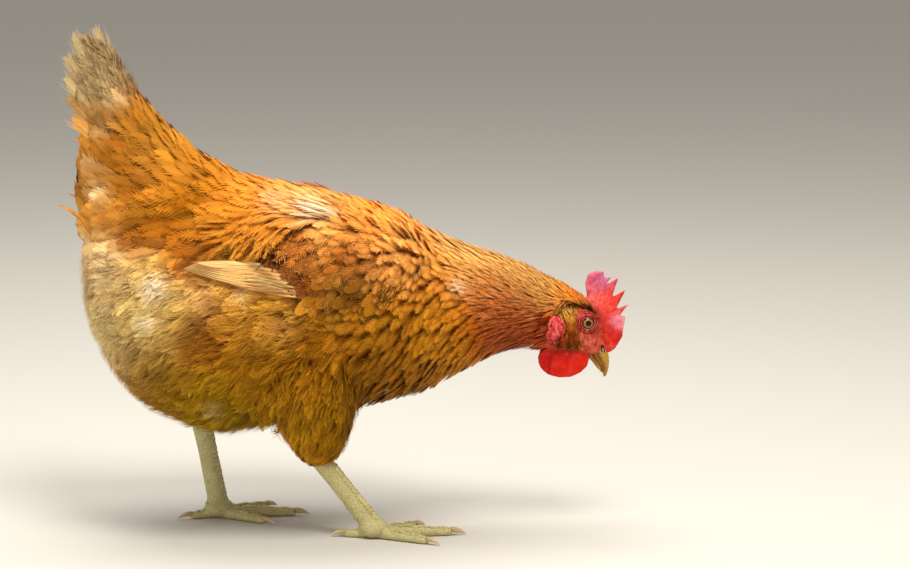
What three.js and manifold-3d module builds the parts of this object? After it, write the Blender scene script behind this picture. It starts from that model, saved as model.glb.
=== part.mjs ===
// A life-size laying hen, golden buff with pale tail tips, foraging with its head lowered
// and its right foot forward. Each solid reaches the tips of the plumage.
//
// Units are millimetres, +Z up. The hen faces +X and its left side is +Y. The origin is on the
// floor, under the middle of the hen.
//
// Every soft form is a loft: a cylinder whose rings are moved onto sections. A section stands
// on the line from its top point to its bottom point, in the hen's own side view.

import * as THREE from "three";
import { mergeVertices } from "three/addons/utils/BufferGeometryUtils.js";
import Module from "manifold-3d";

const wasm = await Module();
wasm.setup();

// ---- Driving dimensions ----

const GAP = 0.3; // clearance between neighbouring solids
const GROWN = 0.4; // how far a neighbour is swollen before it is cut away

const EYE_RADIUS = 7.4; // eyeball
const EYE_AT = { x: 172.3, y: 9.6, z: 153.2 };

const SHANK_RADIUS = 7.0; // half its depth from front to back
const SHANK_NARROW = 0.8; // its width as a share of its depth
const HOCK_RADIUS = 9.6;

const RIGHT_HOCK = { x: -29, y: -34, z: 70 };
const RIGHT_PAD = { x: 19, y: -33, z: 7 };
const LEFT_HOCK = { x: -112, y: 36, z: 84 };
const LEFT_PAD = { x: -97, y: 33, z: 7 };
const PAD_RADIUS = 11.5;

const TOE_RADIUS = 5.0; // at the foot
const CLAW_LENGTH = 12;
const CLAW_RADIUS = 2.6;
const SOLE_CUT = 0.8; // how much of each sole is pressed flat

const COMB_THICK = 5.0;
const COMB_EDGE = 1.0; // rounding of its rim
const WATTLE = { length: 37.5, height: 26, thick: 5.0, x: 156, y: 6.6, z: 125, droop: 4 };
const LOBE = { long: 25, wide: 13, thick: 5, x: 149.6, y: 19.2, z: 148.8, lean: 15, flare: 12 };

const FEATHER_THICK = 2.4; // a flight or tail feather's blade

// ---- Finishes ----

const finish = (color, roughness) => new THREE.MeshStandardMaterial({ color, roughness, metalness: 0 });
const PLUMAGE = finish(0xc8781c, 0.8);
const FLUFF = finish(0xb98a35, 0.9);
const PALE_FEATHER = finish(0xdcb27c, 0.7);
const RED_SKIN = finish(0xd83325, 0.5);
const HORN = finish(0xa07028, 0.4);
const SCALY_SKIN = finish(0xa8a06c, 0.6);
const EYE = finish(0x2a1608, 0.1);

// ---- Solids ----

/** A closed geometry as a manifold-3d solid. */
function solidOf(geometry) {
  const bare = geometry.index ? geometry.toNonIndexed() : geometry.clone();
  bare.deleteAttribute("normal");
  bare.deleteAttribute("uv");
  const merged = mergeVertices(bare, 1e-4);
  return new wasm.Manifold(
    new wasm.Mesh({
      numProp: 3,
      vertProperties: merged.attributes.position.array,
      triVerts: new Uint32Array(merged.index.array),
    }),
  );
}

/** A solid's largest piece, so that a cut leaves no crumbs. */
function largest(solid) {
  return solid.decompose().sort((a, b) => b.volume() - a.volume())[0];
}

/** A solid as a geometry. */
function geometryOf(solid) {
  const { numProp, numVert, vertProperties, triVerts } = solid.getMesh();
  const position = new Float32Array(numVert * 3);
  for (let i = 0; i < numVert; i++) {
    position.set(vertProperties.subarray(i * numProp, i * numProp + 3), i * 3);
  }
  return new THREE.BufferGeometry()
    .setAttribute("position", new THREE.BufferAttribute(position, 3))
    .setIndex(new THREE.BufferAttribute(triVerts, 1));
}

/** The solid less each of the others. */
const without = (solid, ...others) => others.reduce((left, other) => left.subtract(other), solid);

// ---- Lofts ----

/**
 * One section: top and bottom points in the side view, half its width, where its middle lies
 * across the hen, and how far its widest level sinks, as a share of half its height.
 */
const section = (top, bottom, half, drop = 0, y = 0) => ({ top, bottom, half, drop, y });

/** A smooth run through the sections, as a function of 0 to 1 that gives a section. */
function smooth(sections) {
  const run = (point) => new THREE.CatmullRomCurve3(sections.map(point), false, "catmullrom", 0.5);
  const tops = run((s) => new THREE.Vector3(s.top[0], 0, s.top[1]));
  const bottoms = run((s) => new THREE.Vector3(s.bottom[0], 0, s.bottom[1]));
  const sizes = run((s) => new THREE.Vector3(s.half, s.drop, s.y));
  return (t) => {
    const top = tops.getPoint(t);
    const bottom = bottoms.getPoint(t);
    const size = sizes.getPoint(t);
    return section([top.x, top.z], [bottom.x, bottom.z], Math.max(size.x, 0.2), size.y, size.z);
  };
}

/** The point of a section at an angle from its top, out by a share of its reach, then grown. */
function pointOf(s, angle, share = 1, grow = 0) {
  const middle = new THREE.Vector3((s.top[0] + s.bottom[0]) / 2, s.y, (s.top[1] + s.bottom[1]) / 2);
  const up = new THREE.Vector3(s.top[0], s.y, s.top[1]).sub(middle);
  const height = up.length();
  const rise = Math.cos(angle) - s.drop * Math.sin(angle) ** 2;
  up.normalize();
  middle.addScaledVector(up, share * (height * rise + grow * Math.cos(angle)));
  middle.y += share * (s.half + grow) * Math.sin(angle);
  return middle;
}

/** The way a loft runs out of one of its flat ends, at t 0 or 1. */
function outOfEnd(at, t) {
  const inside = pointOf(at(t === 0 ? 0.01 : 0.99), 0, 0);
  return pointOf(at(t), 0, 0).sub(inside).normalize();
}

/** A loft through the sections, with flat ends. */
function loft(sections, sides, rings, grow = 0) {
  const at = smooth(sections);
  const geometry = new THREE.CylinderGeometry(1, 1, 1, sides, rings);
  const position = geometry.attributes.position;
  for (let i = 0; i < position.count; i++) {
    const x = position.getX(i);
    const z = position.getZ(i);
    const t = THREE.MathUtils.clamp(position.getY(i) + 0.5, 0, 1);
    const point = pointOf(at(t), Math.atan2(x, z), Math.hypot(x, z), grow);
    if (t === 0 || t === 1) point.addScaledVector(outOfEnd(at, t), grow);
    position.setXYZ(i, point.x, point.y, point.z);
  }
  return outward(solidOf(geometry), geometry);
}

/** The solid, or the one of the geometry's other winding if its faces point in. */
function outward(solid, geometry) {
  return solid.volume() > 0 ? solid : solidOf(flipped(geometry));
}

/** A geometry with each face turned round. */
function flipped(geometry) {
  const turned = geometry.toNonIndexed();
  const p = turned.attributes.position;
  for (let i = 0; i < p.count; i += 3) {
    const a = new THREE.Vector3().fromBufferAttribute(p, i + 1);
    const b = new THREE.Vector3().fromBufferAttribute(p, i + 2);
    p.setXYZ(i + 1, b.x, b.y, b.z);
    p.setXYZ(i + 2, a.x, a.y, a.z);
  }
  return turned;
}

/** A round limb along points { x, y, z, r }, r its half depth, narrowed across the hen. */
function limb(points, sides, rings, narrow = 1, grow = 0) {
  const path = new THREE.CatmullRomCurve3(points.map((p) => new THREE.Vector3(p.x, p.y, p.z)));
  const radii = new THREE.CatmullRomCurve3(points.map((p) => new THREE.Vector3(p.r, 0, 0)));
  const steep = Math.abs(path.getPoint(1).sub(path.getPoint(0)).normalize().z) > 0.5;
  const geometry = new THREE.CylinderGeometry(1, 1, 1, sides, rings);
  const position = geometry.attributes.position;
  for (let i = 0; i < position.count; i++) {
    const t = THREE.MathUtils.clamp(position.getY(i) + 0.5, 0, 1);
    const ahead = path.getTangent(t);
    const across = new THREE.Vector3(0, 0, 1).cross(ahead).normalize();
    if (steep) across.set(0, 1, 0).addScaledVector(ahead, -ahead.y).normalize();
    const up = ahead.clone().cross(across);
    const radius = radii.getPoint(t).x + grow;
    const point = path
      .getPoint(t)
      .addScaledVector(across, position.getX(i) * radius * narrow)
      .addScaledVector(up, position.getZ(i) * radius);
    if (t === 0) point.addScaledVector(ahead, -grow);
    if (t === 1) point.addScaledVector(ahead, grow);
    position.setXYZ(i, point.x, point.y, point.z);
  }
  return outward(solidOf(geometry), geometry);
}

/** A flat plate of this outline in the side view, on the hen's middle plane, with rounded edges. */
function plate(outline, thick, round) {
  const shape = new THREE.Shape(outline.map(([x, z]) => new THREE.Vector2(x, z)));
  const geometry = new THREE.ExtrudeGeometry(shape, {
    depth: thick - 2 * round,
    bevelThickness: round,
    bevelSize: round,
    bevelOffset: -round,
    bevelSegments: 1,
    curveSegments: 5,
  });
  geometry.rotateX(Math.PI / 2);
  geometry.translate(0, thick / 2 - round, 0);
  return solidOf(geometry);
}

/** An ellipsoid of these half sizes, turned by degrees about Y and then about Z, and placed. */
function ellipsoid(half, place, { aboutY = 0, aboutZ = 0, sides = 14, rings = 7 } = {}) {
  const geometry = new THREE.SphereGeometry(1, sides, rings);
  geometry.scale(half.x, half.y, half.z);
  geometry.rotateY(THREE.MathUtils.degToRad(aboutY));
  geometry.rotateZ(THREE.MathUtils.degToRad(aboutZ));
  geometry.translate(place.x, place.y, place.z);
  return solidOf(geometry);
}

// ---- The body: trunk, neck and head as one loft, parted by two cuts ----

const TRUNK_SECTIONS = [
  section([-188, 196], [-187, 182], 6),
  section([-186, 222], [-184, 156], 36, 0.05),
  section([-176, 240], [-174, 131], 54, 0.1),
  section([-158, 250], [-157, 106], 67, 0.14),
  section([-128, 258], [-130, 86], 77, 0.16),
  section([-94, 265], [-96, 73.5], 82, 0.16),
  section([-58, 257], [-60, 77.5], 84, 0.14),
  section([-22, 250.5], [-24, 84], 83, 0.12),
  section([12, 241], [8, 91], 76, 0.1),
  section([40, 231], [36, 96], 64, 0.06),
  section([63, 217.5], [58, 103], 50, 0.03),
];
const NECK_SECTIONS = [
  section([86, 208.5], [78, 113.5], 39),
  section([110, 201], [100, 125.5], 31),
  section([132, 192.5], [119, 131.5], 25),
];
const HEAD_SECTIONS = [
  section([149, 183.5], [134, 131.5], 20.5),
  section([163, 176], [148, 130], 18),
  section([174, 168], [158, 129.5], 16.8),
  section([181, 156], [166, 130], 14.5),
  section([186, 142], [171, 129.5], 11),
  section([188, 132.5], [174.5, 129], 8.5),
  section([187, 130], [177, 129.5], 5),
];
const BODY_SECTIONS = [...TRUNK_SECTIONS, ...NECK_SECTIONS, ...HEAD_SECTIONS];
const BODY_SIDES = 20;
const BODY_RINGS = 31;

const NECK_CUT = { at: [56, 223], normal: [0.89, 0, 0.45] }; // where the hackles leave the shoulders
const HEAD_CUT = { at: [141, 131], normal: [0.94, 0, -0.34] }; // behind the ear lobes

const body = loft(BODY_SECTIONS, BODY_SIDES, BODY_RINGS);
const bodyGrown = loft(BODY_SECTIONS, BODY_SIDES, BODY_RINGS, GROWN);

/** The part of a solid ahead of a cut, or behind it, half a gap clear of it. */
function beside(solid, { at, normal }, ahead) {
  const length = Math.hypot(...normal);
  const [x, , z] = normal.map((n) => n / length);
  const offset = at[0] * x + at[1] * z;
  if (ahead) return solid.trimByPlane([x, 0, z], offset + GAP / 2);
  return solid.trimByPlane([-x, 0, -z], GAP / 2 - offset);
}

const neck = beside(beside(body, NECK_CUT, true), HEAD_CUT, false);

// ---- Eyes and head ----

/** An eyeball; side is -1 on the hen's right and 1 on its left. */
function eyeball(side, grow = 0) {
  const radius = EYE_RADIUS + grow;
  return ellipsoid({ x: radius, y: radius, z: radius }, { ...EYE_AT, y: side * EYE_AT.y });
}

const head = without(beside(body, HEAD_CUT, true), eyeball(1, GROWN), eyeball(-1, GROWN));

// ---- Bill ----

const UPPER_BILL = [
  section([186.4, 134.5], [171.8, 134.5], 9.4),
  section([188.6, 127.5], [177, 128.1], 7.2),
  section([189.1, 121], [181.4, 121.3], 4.9),
  section([188, 115.1], [184, 115.3], 2.6),
  section([186.4, 111.3], [185.1, 111.4], 0.9),
];
const LOWER_BILL = [
  section([177.2, 134], [169.1, 133], 8),
  section([178.4, 127.5], [173.2, 126.4], 6.6),
  section([181.2, 120.9], [178.2, 119.5], 4.4),
  section([183.6, 115.4], [182.6, 114.4], 1.6),
];
const upperLoft = (grow = 0) => loft(UPPER_BILL, 12, 7, grow);
const lowerLoft = (grow = 0) => loft(LOWER_BILL, 10, 5, grow);
const upperGrown = upperLoft(GROWN);
const upperBill = largest(without(upperLoft(), bodyGrown));
const lowerBill = largest(without(lowerLoft(), bodyGrown, upperGrown));

// ---- Comb, wattles and ear lobes ----

const COMB_BACK = [[173.6, 167], [171.6, 180], [173.6, 186], [178, 188.4], [184.4, 188.6], [184.7, 183.8]];
// Each point of the comb: its tip, then the notch in front of it.
const COMB_POINTS = [
  [[190.2, 184.6], [184.6, 177.4]],
  [[195.2, 184.2], [190.4, 169.2]],
  [[200.4, 175], [193.4, 160.4]],
  [[202.6, 164.2], [195.8, 156]],
  [[200.4, 155.4], [198.6, 147]],
];
const COMB_FRONT = [[198.2, 141], [193, 132.4], [188.6, 129.4], [184, 134], [180, 150], [171, 163]];
const COMB_OUTLINE = [...COMB_BACK, ...COMB_POINTS.flat(), ...COMB_FRONT].reverse();
const comb = largest(without(plate(COMB_OUTLINE, COMB_THICK, COMB_EDGE), bodyGrown, upperGrown));

/** One wattle, an oval leaf that hangs from the jaw. */
function wattle(side) {
  const half = { x: WATTLE.length / 2, y: WATTLE.thick / 2, z: WATTLE.height / 2 };
  const leaf = ellipsoid(half, { ...WATTLE, y: side * WATTLE.y }, { aboutY: -WATTLE.droop });
  return largest(without(leaf, bodyGrown, upperGrown, lowerLoft(GROWN)));
}

/** One ear lobe, an oval that leans back from the cheek. */
function lobe(side) {
  const half = { x: LOBE.wide / 2, y: LOBE.thick / 2, z: LOBE.long / 2 };
  const turns = { aboutY: LOBE.lean, aboutZ: -side * LOBE.flare, sides: 12, rings: 7 };
  return largest(without(ellipsoid(half, { ...LOBE, y: side * LOBE.y }, turns), bodyGrown));
}

// ---- Wings: the trunk's own side, pushed out over a leaf-shaped field ----

const trunkAt = smooth(TRUNK_SECTIONS);

/**
 * A pad on one side of the trunk. span gives its ends along the trunk's loft, field(s) the angles
 * of its upper and lower edges at a share s of its span, bulge(s, t) its thickness.
 */
function sidePad(side, { span, field, bulge, steps, across }) {
  const geometry = new THREE.BoxGeometry(1, 1, 1, steps, 1, across);
  const position = geometry.attributes.position;
  for (let i = 0; i < position.count; i++) {
    const s = position.getX(i) + 0.5;
    const t = position.getZ(i) + 0.5;
    const outer = position.getY(i) > 0;
    const [upper, lower] = field(s);
    const at = trunkAt(span[0] + (span[1] - span[0]) * s);
    const angle = side * THREE.MathUtils.degToRad(upper + (lower - upper) * t);
    const point = pointOf(at, angle, 1, outer ? bulge(s, t) : -PAD_ROOT);
    position.setXYZ(i, point.x, point.y, point.z);
  }
  return outward(solidOf(geometry), geometry);
}

const hump = (t) => Math.max(0, 1 - (2 * t - 1) ** 2);

const PAD_ROOT = 3; // how far a pad reaches into the trunk before it is cut back

// From the rear of the coverts to the shoulder. Its middle climbs, and its ends are round.
const WING = {
  span: [0.56, 0.985],
  middle: (s) => 60 - 21 * s, // degrees from the ridge of the back
  spread: (s) => 2 + 25 * Math.sqrt(1 - Math.abs(2 * s - 1) ** 2.6),
  thick: 8,
  edge: 1.6,
};
// A fan of long quills that slants back from under the coverts.
const FLIGHT = {
  span: [0.45, 0.73],
  field: (s) => [60 - 6 * s, 62.5 + 18 * s],
  bulge: (s) => 2.2 + 1.6 * s,
  steps: 6,
  across: 2,
};
const WIDER = { span: 0.002, degrees: 0.5 }; // what GROWN is along the wing's edges

/** One wing's coverts as a low mound. */
function wingPad(side, grown = false) {
  const more = grown ? WIDER : { span: 0, degrees: 0 };
  return sidePad(side, {
    span: [WING.span[0] - more.span, WING.span[1] + more.span],
    field: (s) => {
      const spread = WING.spread(s) + more.degrees;
      return [WING.middle(s) - spread, WING.middle(s) + spread];
    },
    bulge: (s, t) => WING.edge + WING.thick * Math.sqrt(hump(t) * hump(s)) + (grown ? GROWN : 0),
    steps: 11,
    across: 5,
  });
}

// ---- Tail: a tent of coverts with the tips of the tail feathers ----

// From the rump up. Here a section's top point is at the front of the tail, its bottom at the rear.
const TAIL_SECTIONS = [
  section([-96, 218], [-168, 190], 36),
  section([-79, 258.5], [-189, 208], 56),
  section([-101, 272.5], [-195.5, 234], 50),
  section([-120, 288], [-193.5, 256], 40),
  section([-135, 303.5], [-190, 280], 31),
  section([-147, 316], [-188.5, 300], 24),
  section([-156.5, 330], [-192, 320], 17),
  section([-163, 343], [-192, 336], 11),
  section([-170, 353], [-188, 349], 5),
];
// The tips of the tail feathers on one side, from the top pair outwards: x, z and y.
const TAIL_TIPS = [
  [-179.5, 365.5, 2],
  [-188, 361, 4.5],
  [-197, 362, 7.5],
  [-201, 346, 10.5],
  [-202, 331, 13.5],
  [-199, 318, 16.5],
];
const TAIL_ROOT = { x: -140, z: 268, y: 8 };
const TAIL_FEATHER_WIDTH = 17;

/** One tail feather, from its root inside the coverts to its tip. */
function tailFeather([x, z, y], side) {
  const root = new THREE.Vector3(TAIL_ROOT.x, side * TAIL_ROOT.y, TAIL_ROOT.z);
  const tip = new THREE.Vector3(x, side * y, z);
  const length = tip.distanceTo(root);
  const geometry = new THREE.SphereGeometry(1, 6, 5);
  geometry.scale(length / 2, FEATHER_THICK / 2, TAIL_FEATHER_WIDTH / 2);
  geometry.rotateY(Math.atan2(tip.z - root.z, root.x - tip.x));
  const middle = root.clone().lerp(tip, 0.5);
  geometry.translate(middle.x, middle.y, middle.z);
  return solidOf(geometry);
}

const coverts = (grow = 0) => loft(TAIL_SECTIONS, 16, 12, grow);
const tailGrown = coverts(GROWN);
const tailFeathers = TAIL_TIPS.flatMap((tip) => [tailFeather(tip, 1), tailFeather(tip, -1)]);
const tail = largest(
  without(
    tailFeathers.reduce((whole, feather) => whole.add(feather), coverts()),
    bodyGrown,
  ),
);

// ---- Legs ----

// The feathered thighs, from hip to hock. Here a section's top point is the front of the thigh.
const RIGHT_THIGH = [
  section([2, 168], [-50, 168], 18, 0, -50),
  section([16, 148], [-62, 146], 31, 0, -49),
  section([15, 122], [-64, 119], 33, 0, -47),
  section([10, 100], [-57, 96], 28, 0, -43),
  section([5, 83.5], [-50, 82], 22, 0, -38),
  section([0.5, 71], [-43, 71], 17, 0, -35.5),
  section([-6.5, 60], [-34, 61], 11.5, 0, -34.5),
  section([-14, 55.5], [-25, 56.5], 5, 0, -34),
];
const LEFT_THIGH = [
  section([-18, 166], [-64, 176], 18, 0, 50),
  section([-22, 136], [-96, 156], 31, 0, 51),
  section([-42, 108], [-112, 134], 33, 0, 48),
  section([-68, 88], [-122, 116], 27, 0, 43),
  section([-91, 78], [-128, 100], 19, 0, 38.5),
  section([-102, 73], [-124, 86], 12, 0, 36),
  section([-107, 71], [-117, 77], 5, 0, 35.5),
];

const floor = solidOf(new THREE.BoxGeometry(600, 400, 40).translate(0, 0, -20));

/** The bare leg from inside the thigh to the foot's pad, with its sole flat on the floor. */
function shank(hock, pad, grow = 0) {
  const along = (t, r) => ({
    x: hock.x + (pad.x - hock.x) * t,
    y: hock.y + (pad.y - hock.y) * t,
    z: hock.z + (pad.z - hock.z) * t,
    r,
  });
  const leg = limb(
    [
      along(-0.12, HOCK_RADIUS * 0.8),
      along(0, HOCK_RADIUS),
      along(0.16, SHANK_RADIUS * 1.06),
      along(0.5, SHANK_RADIUS * 0.96),
      along(0.82, SHANK_RADIUS * 1.02),
      along(0.97, SHANK_RADIUS * 1.05),
    ],
    10,
    7,
    SHANK_NARROW,
    grow,
  );
  const half = { x: PAD_RADIUS + grow, y: PAD_RADIUS * 0.9 + grow, z: pad.z + SOLE_CUT + grow };
  return leg.add(ellipsoid(half, pad, { sides: 10, rings: 5 }));
}

/** The toes of one foot: length, degrees out from straight ahead, and how high they leave the pad. */
const TOES = [
  { name: "inner", length: 40, turn: 36, thin: 0.92 },
  { name: "middle", length: 55, turn: -2, thin: 1 },
  { name: "outer", length: 43, turn: -38, thin: 0.92 },
  { name: "hind", length: 20, turn: 166, thin: 0.84 },
];

/** One toe as a plain limb with a swelling at each joint, low enough to press on the floor. */
function toe({ pad, side, yaw }, { length, turn, thin }, grow = 0) {
  const angle = THREE.MathUtils.degToRad(turn + yaw) * -side;
  const thick = TOE_RADIUS * thin;
  const start = PAD_RADIUS * 0.35;
  const at = (t, r) => ({
    x: pad.x + Math.cos(angle) * (start + (length - start) * t),
    y: pad.y + Math.sin(angle) * (start + (length - start) * t),
    z: r - SOLE_CUT,
    r,
  });
  const joints = Math.max(2, Math.round(length / 15));
  const points = [];
  for (let i = 0; i <= 2 * joints; i++) {
    const t = i / (2 * joints);
    const swell = i % 2 ? 1.04 : 0.9;
    points.push(at(t, thick * swell * (1 - 0.34 * t)));
  }
  points.push(at(1 + 2 / length, thick * 0.3));
  return limb(points, 7, 2 * joints + 1, 1, grow);
}

/** The claw of one toe, a bent cone that comes down to the floor. */
function claw({ pad, side, yaw }, { length, turn, thin }) {
  const angle = THREE.MathUtils.degToRad(turn + yaw) * -side;
  const size = CLAW_LENGTH * (0.7 + 0.3 * thin);
  const at = (reach, z, r) => ({
    x: pad.x + Math.cos(angle) * (length + reach),
    y: pad.y + Math.sin(angle) * (length + reach),
    z,
    r,
  });
  return limb(
    [
      at(-2, 3.0, CLAW_RADIUS * thin),
      at(size * 0.3, 3.7, CLAW_RADIUS * 0.95 * thin),
      at(size * 0.65, 2.9, CLAW_RADIUS * 0.66 * thin),
      at(size, 0.75, 0.5),
    ],
    6,
    3,
  );
}

// ---- The hen ----

const hen = new THREE.Group();

/** Adds the largest piece of a solid to the hen as a named mesh. */
function add(name, solid, material) {
  const mesh = new THREE.Mesh(geometryOf(largest(solid)), material);
  mesh.name = name;
  hen.add(mesh);
}

// side is -1 on the hen's right and 1 on its left; yaw turns a foot inwards, in degrees.
const HALVES = {
  right: { side: -1, hock: RIGHT_HOCK, pad: RIGHT_PAD, yaw: 9, thighSections: RIGHT_THIGH },
  left: { side: 1, hock: LEFT_HOCK, pad: LEFT_PAD, yaw: -3, thighSections: LEFT_THIGH },
};

add("trunk", beside(body, NECK_CUT, false), FLUFF);
add("neck", neck, PLUMAGE);
add("head", head, PLUMAGE);
add("tail", tail, PLUMAGE);
add("upper_bill", upperBill, HORN);
add("lower_bill", lowerBill, HORN);
add("comb", comb, RED_SKIN);

for (const [name, { side, hock, pad, yaw, thighSections }] of Object.entries(HALVES)) {
  const wingGrown = wingPad(side, true);
  const flight = sidePad(side, FLIGHT);
  const thigh = (grow = 0) => loft(thighSections, 16, 9, grow);
  const thighGrown = thigh(GROWN);

  add(`eye_${name}`, eyeball(side), EYE);
  add(`wattle_${name}`, wattle(side), RED_SKIN);
  add(`ear_lobe_${name}`, lobe(side), RED_SKIN);
  add(`wing_${name}`, without(wingPad(side), bodyGrown, tailGrown), PLUMAGE);
  add(
    `flight_feathers_${name}`,
    without(flight, bodyGrown, wingGrown, tailGrown, thighGrown),
    PALE_FEATHER,
  );
  add(`thigh_${name}`, without(thigh(), bodyGrown, wingGrown), FLUFF);
  add(`shank_${name}`, without(shank(hock, pad), thighGrown, bodyGrown, floor), SCALY_SKIN);

  let taken = shank(hock, pad, GROWN);
  for (const kind of TOES) {
    const foot = { pad, side, yaw };
    const swollen = toe(foot, kind, GROWN);
    add(`toe_${kind.name}_${name}`, without(toe(foot, kind), taken, floor), SCALY_SKIN);
    add(`claw_${kind.name}_${name}`, without(claw(foot, kind), swollen, floor), HORN);
    taken = taken.add(swollen);
  }
}

export default hen;
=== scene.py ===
import logging
import math
from dataclasses import dataclass
from enum import Enum
from typing import Callable, Iterable, Sequence

import bmesh
import bpy
import numpy as np
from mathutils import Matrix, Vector, noise
from mathutils.bvhtree import BVHTree
from mathutils.kdtree import KDTree


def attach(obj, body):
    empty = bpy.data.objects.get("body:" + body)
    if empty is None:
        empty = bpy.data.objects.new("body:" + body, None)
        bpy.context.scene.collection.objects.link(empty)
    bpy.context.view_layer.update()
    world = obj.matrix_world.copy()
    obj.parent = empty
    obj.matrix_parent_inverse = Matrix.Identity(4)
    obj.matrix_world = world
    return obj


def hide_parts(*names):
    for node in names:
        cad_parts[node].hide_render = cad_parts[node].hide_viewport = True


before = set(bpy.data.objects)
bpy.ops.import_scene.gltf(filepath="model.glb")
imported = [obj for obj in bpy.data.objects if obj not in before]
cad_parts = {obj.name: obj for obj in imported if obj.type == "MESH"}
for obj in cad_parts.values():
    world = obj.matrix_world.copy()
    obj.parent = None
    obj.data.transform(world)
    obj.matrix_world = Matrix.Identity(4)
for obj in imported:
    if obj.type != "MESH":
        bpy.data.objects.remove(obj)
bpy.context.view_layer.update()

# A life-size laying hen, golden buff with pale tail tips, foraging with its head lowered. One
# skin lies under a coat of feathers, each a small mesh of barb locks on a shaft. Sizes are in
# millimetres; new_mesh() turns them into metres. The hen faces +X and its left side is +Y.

LOG = logging.getLogger("hen")
MM = 0.001
BODY = "root"
SLANT = 0.158  # the tangent of the angle from which the outlines and markings were laid out
Array = np.ndarray
Piece = bpy.types.Object
Socket = bpy.types.NodeSocket
Material = bpy.types.Material
Rng = np.random.Generator
Pair = tuple[float, float]
Triple = tuple[float, float, float]
Quad = tuple[float, float, float, float]
Outline = tuple[Pair, ...]
Colour = Triple
Tint = Socket | Colour
STORED = {1: ("FLOAT", "value"), 3: ("FLOAT_VECTOR", "vector"), 4: ("FLOAT_COLOR", "color")}
MERGED = 0.02  # copies of CAD nodes join corners that are nearer than this
PULL = 0.6  # the share of the way to its neighbours' middle that smoothing moves a point
TRIES = 3.2  # places tried for each one that would fit if they were packed evenly
TOUCHING = 0.05  # points nearer than this count as the same place


class Side(Enum):
    """One side of the hen, as the sign of Y there."""

    RIGHT = -1
    LEFT = 1

    @property
    def word(self) -> str:
        """The side's name in piece and node names."""
        return self.name.lower()


def both_sides(*names: str) -> list[str]:
    """The names of nodes that come in pairs, right before left."""
    return [f"{name}_{side.word}" for name in names for side in Side]


# ---- Small mathematics ----


def mix(a: Array, b: Array, t: Array) -> Array:
    """The value that lies a share t of the way from a to b."""
    return a + (b - a) * t


def ease(low: float, high: float, x: Array) -> Array:
    """A smooth step from 0 at low to 1 at high."""
    t = np.clip((np.asarray(x, float) - low) / (high - low), 0, 1)
    return t * t * (3 - 2 * t)


def unit(v: Array) -> Array:
    """Vectors at length one, along the last axis."""
    return v / np.maximum(np.linalg.norm(v, axis=-1, keepdims=True), 1e-9)


def polar(across: Array, up: Array) -> tuple[Array, Array]:
    """The angle at which places lie, and how far out."""
    return np.arctan2(up, across), np.hypot(across, up)


def beside(points: Array, start: Array, end: Array) -> tuple[Array, Array]:
    """How far along a line points lie, from 0 to 1, and how far from it.

    Args:
        points: the places.
        start: where the line starts.
        end: where it ends.

    Returns:
        A share and a distance for each point.
    """
    line = end - start
    along = np.clip((points - start) @ line / (line @ line), 0, 1)
    return along, np.linalg.norm(points - start - along[:, None] * line, axis=1)


def shown(points: Array) -> tuple[Array, Array]:
    """Where points show in the side view, which looks down a little.

    Args:
        points: places on the hen.

    Returns:
        Their X, and the height on the middle plane that they are seen level with.
    """
    return points[:, 0], points[:, 2] - SLANT * np.abs(points[:, 1])


def inside(points: Array, outline: Outline, soft: float) -> Array:
    """How far points lie within an outline drawn on the side view.

    Args:
        points: places on the hen.
        outline: its corners in order, either way round.
        soft: the width over which the edge fades, in millimetres.

    Returns:
        A share from 0 outside to 1 inside.
    """
    flat = np.stack(shown(points), 1)
    near = np.full(len(flat), 1e9)
    within = np.zeros(len(flat), bool)
    for start, end in zip(np.array(outline), np.roll(outline, -1, 0)):
        near = np.minimum(near, beside(flat, start, end)[1])
        crossed = (start[1] > flat[:, 1]) != (end[1] > flat[:, 1])
        run, rise = end - start
        level = start[0] + (flat[:, 1] - start[1]) / (rise or 1e-9) * run
        within ^= crossed & (flat[:, 0] < level)
    return ease(-soft / 2, soft / 2, np.where(within, near, -near))


def wrinkle(points: Array, size: float, octaves: int = 3) -> Array:
    """Smooth three-dimensional noise.

    Args:
        points: where it is read, in millimetres.
        size: how wide its largest lumps are, in millimetres.
        octaves: how many finer layers are added.

    Returns:
        One value a point, mostly from -1 to 1.
    """
    scaled = points / size
    return np.array([noise.fractal(Vector(p), 1.0, 2.0, octaves) for p in scaled])


# ---- Meshes ----


def linked(name: str, data: bpy.types.ID) -> Piece:
    """A new object in the scene.

    Args:
        name: the object's name.
        data: its mesh, lamp or camera.

    Returns:
        The object.
    """
    made = bpy.data.objects.new(name, data)
    bpy.context.scene.collection.objects.link(made)
    return made


def new_mesh(name: str, points: Array, faces: Sequence[Array]) -> Piece:
    """A mesh object from millimetre points.

    Args:
        name: the piece's name.
        points: an N by 3 array.
        faces: arrays of corner indices, one array for each number of corners.

    Returns:
        The object, smooth shaded and linked to the scene.
    """
    mesh = bpy.data.meshes.new(name)
    loops = np.concatenate([f.ravel() for f in faces]).astype(np.int32)
    totals = np.concatenate([np.full(len(f), f.shape[1], np.int32) for f in faces])
    starts = np.concatenate([[0], np.cumsum(totals)[:-1]]).astype(np.int32)
    mesh.vertices.add(len(points))
    mesh.vertices.foreach_set("co", (points * MM).astype(np.float32).ravel())
    mesh.loops.add(len(loops))
    mesh.loops.foreach_set("vertex_index", loops)
    mesh.polygons.add(len(totals))
    mesh.polygons.foreach_set("loop_start", starts)
    mesh.update(calc_edges=True)
    mesh.shade_smooth()
    return linked(name, mesh)


def read(items: Sequence, name: str, width: int, kind: type = np.int32) -> Array:
    """One property of all of a mesh's items, a row for each.

    Args:
        items: the mesh's points, edges or faces.
        name: the property.
        width: how many numbers it has.
        kind: their type.

    Returns:
        A row for each item.
    """
    out = np.empty((len(items), width), kind)
    items.foreach_get(name, out.reshape(-1))
    return out


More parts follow.
